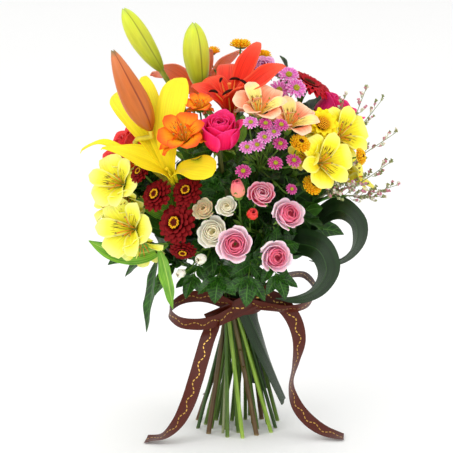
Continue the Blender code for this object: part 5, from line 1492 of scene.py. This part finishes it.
# The side of each bud, as (share of its half width, height)
BUD_SHAPES = {
    "green_bud": [
        (0.3, 0.0), (0.48, 0.06), (0.72, 0.18), (0.9, 0.34), (1.0, 0.54), (0.92, 0.72), (0.7, 0.86),
        (0.42, 0.95), (0.14, 1.0),
    ],
    "russet_bud": [
        (0.16, 0.0), (0.5, 0.06), (0.84, 0.18), (1.0, 0.33), (0.95, 0.5), (0.78, 0.67), (0.56, 0.82),
        (0.34, 0.93), (0.12, 1.0),
    ],
}


def lily_bud(entry, finish):
    """A long three-sided bud, grooved where its tepals meet."""
    half = BUD_HALVES[entry["kind"]]
    stops = [(half * share, height) for share, height in BUD_SHAPES[finish]]
    rings = turned(smooth_line(stops, 32, 2), 48)
    turns = np.linspace(-1, 1, 48, endpoint=False)
    ridge = np.cos(3 * math.pi * turns)
    swell = 1 + 0.06 * ridge - 0.07 * np.exp(-((ridge + 1) / 0.08) ** 2)
    rings[:, :, :2] *= swell[None, :, None]
    rings[:, :, 2] += 0.012 * ridge * np.linspace(0, 1, 32)[:, None] ** 9
    rings[:, :, 0] += 0.02 * np.sin(math.pi * rings[:, :, 2])
    return placed([skin(rings, finish)], entry["base"], entry["facing"], entry["size"])


# %% [markdown]
# Leaves differ as much as flowers do. A rose leaf is a stalk with five toothed leaflets, a
# chrysanthemum's is cut into lobes, and an alstroemeria's or a lily's is one smooth blade with
# lengthwise veins. Each one is drawn by its outline, half its width at stops along it.

# %% Leaves
LEAF_THICK = 0.4
OUTLINES = {
    "oval": [(0, 0.12), (0.12, 0.6), (0.38, 1.0), (0.65, 0.85), (0.88, 0.4), (1, 0.02)],
    "lance": [(0, 0.14), (0.2, 0.75), (0.45, 1.0), (0.75, 0.7), (0.92, 0.28), (1, 0.02)],
    "lobed": [
        (0, 0.14), (0.18, 0.5), (0.28, 0.95), (0.36, 0.6), (0.5, 1.1), (0.6, 0.6), (0.72, 0.9),
        (0.82, 0.45), (0.93, 0.35), (1, 0.03),
    ],
}


def leaf_blade(rib, side, half, outline, finish, teeth=0, rows=22, cols=9):
    """One blade along a rib, a little folded at its midrib and waved at its margins."""
    own = chance.uniform()
    line = smooth_line(rib, rows)
    along, reach = np.linspace(0, 1, rows)[:, None], np.linspace(-1, 1, cols)[None]
    widths = half * eased(OUTLINES[outline], rows)
    lift = half * (0.2 * np.abs(reach) + 0.09 * np.sin(2 * math.pi * (2.2 * along + own)) * reach**2)
    lift = lift * eased([(0, 0.3), (0.3, 1), (0.8, 1), (1, 0.2)], rows)[:, None]
    grid = blade_grid(line, side, widths, cols, lift)
    if teeth:
        tooth = 1 + 0.12 * ((np.linspace(0, 1, rows) * teeth) % 1 - 0.5)
        for edge, inner in ((0, 1), (-1, -2)):
            grid[:, edge] = grid[:, inner] + (grid[:, edge] - grid[:, inner]) * tooth[:, None] ** 2
    return sheet(grid, LEAF_THICK, finish, own)


def leaf_side(rib):
    """The direction across a leaf that turns its face away from the heart of the bouquet."""
    return unit(np.cross(rib[len(rib) // 2] - HEART, rib[-1] - rib[0]))


def grow_leaf(start, base, tip, half, sag, kind):
    """A leaf with its stalk, which starts inside the stem."""
    rib = leaf_rib(base, tip, sag, 8)
    side = leaf_side(rib)
    stalk_line = smooth_line([start, 0.5 * (start + rib[0]), rib[0], rib[1]], 8)
    bits = [skin(round_line(stalk_line, np.linspace(1.2, 0.7, 8), 7), "sepal_green")]
    if kind == "rose":
        ahead, length = unit(rib[-1] - rib[0]), np.linalg.norm(rib[-1] - rib[0])
        upper = np.cross(ahead, side)
        bits.append(skin(round_line(smooth_line(rib[:5], 8), 0.55, 6), "sepal_green"))
        bits.append(leaf_blade(rib[3:], side, 0.85 * half, "oval", "dark_rose_leaf", 12))
        for share, reach in ((0.1, 0.5), (0.4, 0.56)):
            middle = smooth_line(rib, 51)[int(50 * share)]
            for hand in (-1, 1):
                out = unit(0.9 * ahead + hand * side)
                end = middle + reach * length * out - 0.1 * length * upper
                along = np.linspace(0, 1, 6)[:, None]
                line = middle * (1 - along) + end * along + upper * 0.05 * length * np.sin(math.pi * along)
                across = unit(np.cross(upper, out))
                bits.append(leaf_blade(line, across, 0.6 * half, "oval", "dark_rose_leaf", 10, 16, 7))
        return bits
    finish, outline, teeth = {
        "mum": ("dark_mum_leaf", "lobed", 14),
        "lily": ("bright_lily_leaf", "lance", 0),
        "alstro": ("alstroemeria_leaf", "lance", 0),
        "dark": ("dark_rose_leaf", "oval", 16),
    }[kind]
    bits.append(leaf_blade(rib, side, half, outline, finish, teeth, 30 if kind == "mum" else 22))
    return bits


# %% [markdown]
# Now every plant is dressed. Its stem is round, thickens at its nodes and is cut level where it
# stands. Rose stems keep a few thorns below the tie. Buds and leaves belong to the stem that
# carries them, and short filler leaves grow on it above the tie, where they fill the shade
# between the blooms. A spray's stalks fan out of a small knuckle, each to its own bloom.

# %% Stems
STALK_WIDTH = 2.0
LIMB_WIDTH = 4.8


def stem_skin(line, width, finish, nodes_apart=34.0):
    """A round stem with slightly swollen nodes, cut level at the floor where it starts there."""
    lengths = np.concatenate([[0], np.cumsum(np.linalg.norm(np.diff(line, axis=0), axis=1))])
    swell = 0.95 + 0.05 * np.exp(-(((lengths % nodes_apart) - 0.5 * nodes_apart) / 2.5) ** 2)
    rings = round_line(line, 0.5 * width * swell, 12)
    if line[0][2] < 1:
        run = unit(line[1] - line[0])
        rings[0] -= run * (rings[0][:, 2:] / run[2])
    return skin(rings, finish, chance.uniform())


def thorns(line, width):
    """Hooked thorns on the outside of a rose stem, below the tie."""
    bits = []
    for height in np.arange(30, 120, 23):
        spot = line[np.argmin(np.abs(line[:, 2] - height))]
        turn = chance.uniform(-0.9, 0.9)
        out = unit(outwards(math.atan2(spot[1], spot[0]) + turn))
        tip = spot + out * (0.5 * width + 2.6) - (0, 0, 1.2)
        hook = [spot + 0.4 * width * out, spot + out * (0.5 * width + 0.9), tip]
        bits.append(skin(round_line(hook, [1.7, 0.9, 0.12], 6), "brown_stem"))
    return bits


def leaf_kind(name):
    for start, kind in (
        ("rose", "rose"), ("spray_rose", "rose"), ("lily", "lily"), ("alstro", "alstro"),
        ("foliage", "dark"),
    ):
        if name.startswith(start):
            return kind
    return "mum"


# How many leaves fill the shade on a stem of each kind, and half the width of each
FILLERS = {"rose": (8, 15), "mum": (10, 17), "dark": (9, 15), "alstro": (9, 11), "lily": (8, 11)}
LOWEST_LEAF = 196.0
LEAF_TURN = 2.4  # radians from one leaf or twig to the next one up its stem


def filler_leaves(kind, line):
    """Leaves up the stem, turned a step further round it each time."""
    bits = []
    count, half = FILLERS[kind]
    room = line[-1][2] - 6 - LOWEST_LEAF
    for index in range(count):
        height = LOWEST_LEAF + room * (index + chance.uniform(0.2, 0.8)) / count
        start = line[np.argmin(np.abs(line[:, 2] - height))]
        out = unit((start[0], start[1], 0.0))
        turn = LEAF_TURN * index + chance.uniform(-0.4, 0.4)
        hand = np.array([-out[1], out[0], 0.0])
        run = unit(0.55 * out + 0.8 * (math.cos(turn) * out + math.sin(turn) * hand) + (0, 0, 0.6))
        length = chance.uniform(42, 60)
        base = start + 7 * run
        bits += grow_leaf(start, base, base + length * run, half, -4, kind)
    return bits


# Three stems at the front are not of their plant's usual green
FRONT_STEMS = {"alstro_back": "light_stem", "alstro_left": "light_stem", "rose_back": "brown_stem"}
STEM_FINISH = {
    "stem_green": "green_stem", "stem_brown": "brown_stem", "leaf_dark": "dark_stem",
    "twig_green": "twig_stem",
}


def grow_stem(name, plant, lines):
    width, colour = plant["stem"]
    finish = FRONT_STEMS.get(name, STEM_FINISH[colour])
    points = [on_spiral(lines["spot"], 0.0)] + [net.solved[index] for index in lines["stem"]]
    print(f"{name} stands at {np.round(points[0][:2])}")
    line = smooth_line(points, 70)
    bits = [stem_skin(line, width, finish)]
    if colour == "stem_brown":
        bits += thorns(line, width)
    if "arms" in plant:
        kinds = [arm[2] for arm in plant["arms"]] + ["bud"] * len(buds_of(plant))
        for ids, kind in zip(lines["stalks"], kinds):
            limb = net.solved[ids].copy()
            limb[0] -= 3 * unit(limb[1] - limb[0])
            widths = LIMB_WIDTH * np.linspace(1, 1.35 if kind == "bud" else 1, 16)
            bark = "yellow_stalk" if name == "lily_yellow" else "bud_stalk"
            bits.append(stem_skin(smooth_line(limb, 16), widths, bark if kind == "bud" else finish))
    for entry in buds_of(plant):
        bits += lily_bud(entry, "green_bud")
    for ids, (base, tip, half, sag) in zip(lines["petioles"], plant.get("leaves", [])):
        bits += grow_leaf(net.solved[ids[0]], base, tip, half, sag, leaf_kind(name))
    if "twigs" not in plant:
        bits += filler_leaves(leaf_kind(name), line)
    make_piece("live_" + name + "_stem", bits, colour, name + "_stem")


for name, plant in PLANTS.items():
    grow_stem(name, plant, chains[name])

# %% [markdown]
# The blooms sit on the same bases as their solids, turned to face the same way.

# %% Blooms
# The back lily's finish is the orange lily's colour lightened, partly for its paler tepal backs and partly
# as painted light.
LILY_TISSUE = {
    "lily_yellow_bloom": "yellow_lily", "lily_orange_bloom": "orange_lily",
    "lily_back_bloom": "salmon_lily",
}
# More flowers on the same stalk, in the unit of the first: where each sits, how it looks, its size
CROWDED = {
    "lemon": [
        ((0.05, 0.12, 0.02), (0.5, 0.75, 0.5), 0.72), ((-0.1, -0.06, 0.0), (-0.7, -0.5, 0.5), 0.66),
    ],
    "yellow": [((0.1, 0.05, 0.02), (0.75, 0.3, 0.6), 0.66)],
    "orange": [
        ((0.06, 0.0, 0.02), (0.7, -0.25, 0.66), 0.66), ((-0.07, 0.0, 0.02), (-0.75, -0.2, 0.6), 0.66),
    ],
    "peach": [((0.06, -0.06, 0.02), (0.6, -0.6, 0.6), 0.6)],
}
# Looser heads than their solids, which open wider round the same base
SWELL = {"coral": 1.18, "magenta": 1.22}
# Spray roses and daisies, by the middle of the face, that differ in colour from their spray
OTHER_ROSES = {
    (-39, -110, 286): "tan_edged_rose", (26, -116, 305): "hot_spray_rose",
    (15, -120, 282): "coral_rose", (-1, -118, 309): "peach_bud",
}
MAGENTA_DAISIES = [
    (60, -112, 340), (5, -124, 331), (58, -108, 307), (40, -120, 339), (29, -116, 382),
    (46, -114, 380), (45, -118, 360),
]


def dress(kind, colour, face=None):
    """The bits of one bloom, a unit wide."""
    if kind in ("rose", "spray_rose", "rose_bud"):
        grow = {"rose": rose, "spray_rose": spray_rose, "rose_bud": rose_bud}[kind]
        return grow(OTHER_ROSES.get(face, colour + "_rose"))
    if kind == "alstro":
        tepals = (colour + "_tepal", colour + "_streaked")
        bits = alstroemeria(*tepals)
        for base, facing, size in CROWDED[colour]:
            bits += placed(alstroemeria(*tepals), np.array(base), unit(facing), size)
        return bits
    if kind == "mum":
        return golden_mum() if colour == "gold" else crimson_mum()
    if kind == "daisy":
        return daisy("magenta_daisy" if face in MAGENTA_DAISIES else "lilac_daisy")
    return button() if kind == "button" else gerbera()


def grow_spray(name, plant, lines):
    """A knuckle on the stem's end, and each bloom on its stalk."""
    hub, ahead = hub_of(plant), lines["ahead"]
    width, colour = plant["stem"][0], plant["spray"][0]
    knuckle = [hub + reach * ahead for reach in (CLEAR, 4, 8, 12)]
    bits = [skin(round_line(knuckle, [0.5 * width, 0.52 * width, 3.4, 2.2], 10), "green_stem")]
    for ids, entry, plan in zip(lines["stalks"], blooms_of(plant), plant["spray"][1]):
        line = net.solved[ids].copy()
        away = line[1] - line[0]
        line[0] += ahead + 1.6 * unit(away - ahead * np.dot(away, ahead))
        bits.append(stem_skin(smooth_line(line, 16), STALK_WIDTH, "green_stem", 19.0))
        line = smooth_line(line, 16)
        run = unit(line[7] - line[5])
        tip = line[6] + 13 * unit(run + unit(np.cross(run, (0.3, 0.2, 1.0))))
        across = leaf_side(np.array([line[6], tip]))
        bract = leaf_rib(line[6], tip, 0, 6)
        bits.append(leaf_blade(bract, across, 2.4, "lance", "sepal_green", 0, 8, 5))
        bits += placed(dress(plan[0], colour, plan[1]), entry["base"], entry["facing"], entry["size"])
    make_piece("live_" + name + "_blooms", bits, colour, name + "_blooms")


for name, plant in PLANTS.items():
    if "spray" in plant:
        grow_spray(name, plant, chains[name])
    elif "single" in plant:
        colour, kind = plant["single"][:2]
        entry = blooms_of(plant)[0]
        size = entry["size"] * SWELL.get(colour, 1.0)
        bits = placed(dress(kind, colour), entry["base"], entry["facing"], size)
        make_piece("live_" + name + "_bloom", bits, colour, name + "_bloom")
    for (node, colour, kind, *rest), entry in zip(plant.get("arms", []), blooms_of(plant)):
        if kind == "lily":
            bits = lily(node, entry, LILY_TISSUE[node])
        else:
            bits = lily_bud(entry, "russet_bud")
        make_piece("live_" + node, bits, colour, node)

# %% [markdown]
# Sea lavender is the haze at the edge of the bouquet: wiry twigs that fork again and again,
# with papery florets hardly two millimetres wide along the upper side of each fork.


# %% Sea lavender
def floret(foot, run):
    """A papery cup with five lobes on a twig."""
    finish = ("sea_lavender_white", "sea_lavender_rose", "sea_lavender_olive")[int(chance.integers(0, 3))]
    size = chance.uniform(1.2, 2.0)
    cup = skin(turned([(0.25, 0.0), (0.45, 1.0), (0.95, 2.0), (0.3, 1.9)], 10, 5, 0.25), finish)
    return placed([cup], foot, run, size)


def sea_lavender(name, plant, lines):
    hub, ahead = hub_of(plant), lines["ahead"]
    knuckle = [hub + reach * ahead for reach in (CLEAR, 4, 8, 12)]
    bits = [skin(round_line(knuckle, [1.7, 1.7, 2.0, 1.2], 8), "twig_stem")]
    for ids in lines["stalks"]:
        line = net.solved[ids].copy()
        away = line[1] - line[0]
        line[0] += ahead + unit(away - ahead * np.dot(away, ahead))
        line = smooth_line(line, 30)
        bits.append(skin(round_line(line, np.linspace(0.8, 0.35, 30), 6), "twig_stem"))
        for index in range(10, 30, 2):
            run = unit(line[index] - line[index - 1])
            turn = LEAF_TURN * index + chance.uniform(-0.5, 0.5)
            out = outwards(turn) @ axes(run)
            reach = chance.uniform(7, 14) * (1.0 if index < 24 else 0.6)
            tip = line[index] + reach * unit(0.9 * run + 0.9 * out + (0, 0, 0.3))
            fork = smooth_line([line[index], line[index] + 0.4 * reach * unit(run + 1.4 * out), tip], 9)
            bits.append(skin(round_line(fork, np.linspace(0.35, 0.2, 9), 5), "twig_stem"))
            for step in range(3, 9):
                if chance.uniform() < 0.92:
                    lean = unit(run + (0, 0, 0.6) + 0.7 * chance.uniform(-1, 1, 3))
                    bits += floret(fork[step], lean)
    make_piece("live_" + name + "_twigs", bits, "twig_green", name + "_twigs")


for name in ("limonium_right", "limonium_back"):
    sea_lavender(name, PLANTS[name], chains[name])

# %% [markdown]
# The two aspidistra leaves are folded back on themselves, so each makes a tall loop beside the
# blooms while its cut end fans out among the stems. The ends are trimmed in a zigzag.

# %% Aspidistra leaves
ASPIDISTRA_THICK = 0.7
ASPIDISTRA_AIR = 2.2  # from the bundle of stems to the middle line of a leaf
# Where each leaf passes the tie, in degrees, and the rest of its path from there: x, y, z, half
# its width and the direction of its width
ASPIDISTRAS = {
    "aspidistra_low": (-70, [
        (26, -34, 184, 13, 0.4, 0.9, 0.1), (44, -50, 214, 17, 0.3, 0.85, 0.4),
        (66, -60, 232, 19, 0.2, 0.75, 0.6), (88, -68, 228, 19, 0.5, 0.7, 0.4),
        (98, -70, 206, 18, 0.7, 0.7, 0.0), (88, -68, 184, 16, 0.5, 0.75, -0.4),
        (66, -62, 171, 12, 0.1, 0.8, -0.6), (42, -54, 168, 0, 0.0, 0.8, -0.6),
    ]),
    "aspidistra_high": (-4, [
        (38, -12, 184, 13, 0.25, 0.95, 0.1), (62, -20, 218, 16, 0.2, 0.9, 0.3),
        (90, -28, 250, 18, 0.1, 0.85, 0.5), (114, -32, 264, 18, 0.2, 0.85, 0.5),
        (131, -33, 250, 18, 0.5, 0.85, 0.0), (132, -32, 226, 17, 0.45, 0.85, -0.1),
        (118, -29, 208, 14, 0.3, 0.85, -0.3), (98, -26, 202, 10, 0.2, 0.9, -0.4),
        (80, -25, 204, 0, 0.2, 0.95, -0.2),
    ]),
}


def aspidistra_rib(turn, path, outside):
    """The leaf's middle line, half widths and sides, from its cut end up and round its loop."""
    angle = math.radians(turn)
    spot = (outside + ASPIDISTRA_AIR) * np.array([math.cos(angle), math.sin(angle)])
    rib, halves, sides = [], [], []
    for height, half in ((34, 17), (90, 15), (TIE_HEIGHT - 12, 11), (TIE_HEIGHT + 12, 11)):
        place = on_spiral(spot, height)
        rib.append(place)
        halves.append(half)
        sides.append(unit((-place[1], place[0], 0)))
    for x, y, z, half, *side in path:
        rib.append(np.array([x, y, z], float))
        if half > 0:
            halves.append(half)
        sides.append(unit(side))
    return np.array(rib), halves, np.array(sides)


def aspidistra_leaf(name):
    turn, path = ASPIDISTRAS[name]
    rib, halves, sides = aspidistra_rib(turn, path, outside)
    halves = halves + [0.4] * (len(rib) - len(halves))
    rows = smooth_line(np.column_stack([rib, halves, sides]), 96)
    cols = 17
    reach = np.linspace(-1, 1, cols)[None]
    widths = np.maximum(rows[:, 3], 0.4)
    lift = widths[:, None] * (0.22 * np.abs(reach) ** 1.5 - 0.04 * np.exp(-(reach / 0.1) ** 2))
    grid = blade_grid(rows[:, :3], rows[:, 4:], widths, cols, lift)
    zigzag = 3.0 * np.abs((np.linspace(0, 3, cols) % 1) - 0.5)
    grid[0] += unit(rows[1, :3] - rows[0, :3]) * zigzag[:, None]
    make_piece("live_" + name, [sheet(grid, ASPIDISTRA_THICK, "aspidistra_leaf")], "leaf_grey", name)


for name in ASPIDISTRAS:
    aspidistra_leaf(name)

# %% [markdown]
# The ribbon is chocolate satin, eighteen millimetres wide. Satin floats its threads on the face,
# so its shine is drawn out along them. A thin printed vine of gold dots runs down the middle.
# The band stands for its solid, and the knot, the loops and the tails stand for the bow's.


# %% Satin
tree, shader, where, (along, across, own) = new_tissue(
    "chocolate_satin", Anisotropic=0.5, Sheen_Weight=0.02, Sheen_Roughness=0.35, Specular_IOR_Level=0.25,
)
widths_along = add(tree, "Math", {0: along, 1: own}, operation="MULTIPLY").outputs[0]
swing = add(tree, "Math", {0: widths_along, 1: 5.2}, operation="MULTIPLY").outputs[0]
vine = add(tree, "Math", {0: swing}, operation="SINE").outputs[0]
middle = add(tree, "Math", {0: vine, 1: 0.26}, operation="MULTIPLY").outputs[0]
away = add(tree, "Math", {0: across, 1: middle}, operation="SUBTRACT").outputs[0]
near = add(tree, "Math", {0: away}, operation="ABSOLUTE").outputs[0]
line = add(tree, "MapRange", {0: near, 1: 0.05, 2: 0.1, 3: 1.0, 4: 0.0}).outputs[0]
beads = add(tree, "Math", {0: widths_along, 1: 4.2}, operation="MULTIPLY").outputs[0]
bead = add(tree, "Math", {0: beads, 1: 0.5}, operation="PINGPONG").outputs[0]
dotted = add(tree, "MapRange", {0: bead, 1: 0.16, 2: 0.24, 3: 0.0, 4: 1.0}).outputs[0]
gold = add(tree, "Math", {0: line, 1: dotted}, operation="MULTIPLY").outputs[0]
threads = grain(tree, where, (2.0, 90.0, 1.0), 2.0)
brown = ramp(tree, threads, [(0.3, "3c1206"), (0.7, "60200e")])
colour = add(tree, "Mix", {0: gold, 6: brown, 7: linear("c8a050")}, data_type="RGBA").outputs[2]
shine = add(tree, "MapRange", {0: gold, 3: 0.36, 4: 0.3}).outputs[0]
cover(tree, shader, colour, threads, 0.15, 0.0002)
tree.links.new(shine, shader.inputs["Roughness"])
tree.links.new(gold, shader.inputs["Metallic"])

# %% Band, knot, loops and tails
RIBBON_WIDTH = 18.0
KNOT_WIDTH = 20.0
RIBBON_THICK = 0.5
BAND_HALF = 10.0  # half the height of the band
BAND_AIR = 0.75  # from what the band holds to the middle of the ribbon
LAP_AIR = 0.7  # how much farther out the band's end lies, where it laps over its start
HELD_LEAF = 0.8  # room for half the thickness of an aspidistra leaf, with air
# The bow: each path is (x, y, z) and the direction of the ribbon's width there
BOW = {
    "wrap": [
        (-34, -30.4, 134, -0.55, 0, 0.83), (-16, -33.4, 143, -0.5, 0, 0.86),
        (4, -34.4, 153, -0.5, 0, 0.86), (24, -30.4, 163, -0.5, 0.1, 0.86),
        (38, -22.6, 169, -0.45, 0.3, 0.84),
    ],
    "left_loop": [
        (-8, -34, 152, 0, -0.4, 0.9), (-24, -32, 160, 0, -0.45, 0.9), (-46, -32, 164, 0, -0.5, 0.86),
        (-66, -36, 160, 0.1, -0.55, 0.84), (-77, -45, 150, 0.1, -0.6, 0.8),
        (-68, -54, 142, 0.05, -0.55, 0.84), (-46, -54, 138, 0, -0.5, 0.86),
        (-26, -45, 139, 0, -0.4, 0.9), (-6, -35, 146, 0, -0.3, 0.95),
    ],
    "right_loop": [
        (10, -34, 158, 0, -0.75, 0.66), (30, -28, 172, 0, -0.76, 0.64), (54, -24, 186, 0.1, -0.78, 0.62),
        (76, -26, 187, 0.2, -0.8, 0.55), (87, -32, 173, 0.1, -0.82, 0.55), (80, -38, 158, 0, -0.78, 0.62),
        (60, -39, 151, -0.1, -0.74, 0.66), (38, -36, 152, -0.1, -0.7, 0.7), (16, -34, 155, 0, -0.6, 0.8),
    ],
    "left_tail": [
        (-20, -34, 142, 0.5, 0, 0.86), (-32, -39, 122, 0.8, -0.1, 0.55), (-40, -47, 98, 0.88, -0.2, 0.35),
        (-48, -55, 72, 0.92, -0.25, 0.28), (-57, -61, 46, 0.9, -0.35, 0.28),
        (-68, -64, 25, 0.78, -0.55, 0.33), (-84, -62, 9, 0.52, -0.8, 0.2), (-104, -56, 2.6, 0.35, -0.93, 0),
    ],
    "right_tail": [
        (28, -30, 165, -0.5, 0.2, 0.86), (46, -26, 156, 0.3, 0.3, 0.9), (62, -25, 137, 0.75, 0.3, 0.6),
        (69, -28, 113, 0.8, 0.55, 0.2), (65, -34, 86, 0.45, 0.85, 0.1), (60, -40, 62, 0.3, 0.95, 0.1),
        (66, -44, 40, 0.55, 0.8, 0.25), (80, -46, 22, 0.5, 0.75, 0.4), (98, -47, 9.5, 0.35, 0.85, 0.3),
        (120, -48, 2.6, 0.25, 0.97, 0),
    ],
}


def ribbon_piece(name, grid, node):
    """A length of ribbon along a grid of points, which prints the size that it was cut to."""
    middle = grid[:, grid.shape[1] // 2]
    length = np.sum(np.linalg.norm(np.diff(middle, axis=0), axis=1))
    width = np.mean(np.sum(np.linalg.norm(np.diff(grid, axis=1), axis=2), axis=1))
    bits = [sheet(grid, RIBBON_THICK, "chocolate_satin", length / width)]
    piece = make_piece(name, bits, "ribbon_brown", node)
    print(f"  cut {width:.1f} x {length:.0f} mm")


def ribbon_grid(path, width, rows, pleat=0.0):
    """A ribbon along (x, y, z, direction of its width) stops, with or without a lengthwise pleat."""
    line = smooth_line(path, rows)
    cols = 13
    reach = np.linspace(-1, 1, cols)[None]
    bow = 0.5 * np.abs(reach) ** 2 + pleat * np.cos(2.5 * math.pi * reach)
    lift = np.broadcast_to(bow, (rows, cols)) * eased([(0, 1), (0.5, 0.7), (1, 1)], rows)[:, None]
    return blade_grid(line[:, :3], line[:, 3:], np.full(rows, width / 2), cols, lift)


def band_grid():
    """The band round the stems, which laps over itself at the back of the bouquet."""
    spots = [lines["spot"] for lines in chains.values()]
    radii = [plant["stem"][0] / 2 for plant in PLANTS.values()]
    marks = []
    for turn, path in ASPIDISTRAS.values():
        rib, halves, sides = aspidistra_rib(turn, path, outside)
        for share in (-1, -0.5, 0, 0.5, 1):
            marks += [(rib[level] + share * halves[level] * sides[level])[:2] for level in (2, 3)]
    rows, cols = 120, 13
    turns = np.linspace(-0.56, 0.56, rows) * 2 * math.pi - math.pi / 2
    grid = np.empty((rows, cols, 3))
    heights = np.linspace(TIE_HEIGHT - BAND_HALF, TIE_HEIGHT + BAND_HALF, cols)
    for column, height in enumerate(heights):
        places = [(on_spiral(spot, height)[:2], radius) for spot, radius in zip(spots, radii)]
        places += [(mark, HELD_LEAF) for mark in marks]
        reach = np.array([
            max(place @ (math.cos(turn), math.sin(turn)) + radius for place, radius in places)
            for turn in turns
        ])
        for soften in range(3):
            reach[1:-1] = np.maximum(reach[1:-1], (reach[:-2] + 2 * reach[1:-1] + reach[2:]) / 4)
        reach = reach + BAND_AIR
        reach[turns > turns[0] + 2 * math.pi] += LAP_AIR
        pinch = 0.25 * math.cos(3 * math.pi * column / (cols - 1))
        out = reach + pinch
        grid[:, column] = np.stack([out * np.cos(turns), out * np.sin(turns), 0 * turns + height], 1)
    return grid


ribbon_piece("satin_band", band_grid(), "ribbon_band")
knot_grid = ribbon_grid(BOW["wrap"], KNOT_WIDTH, 30, 0.8)
ribbon_piece("satin_knot", knot_grid, "ribbon_bow")
for part, rows in (("left_loop", 70), ("right_loop", 70), ("left_tail", 80), ("right_tail", 90)):
    grid = ribbon_grid(BOW[part], RIBBON_WIDTH, rows)
    ribbon_piece("satin_" + part, grid, "ribbon_bow")
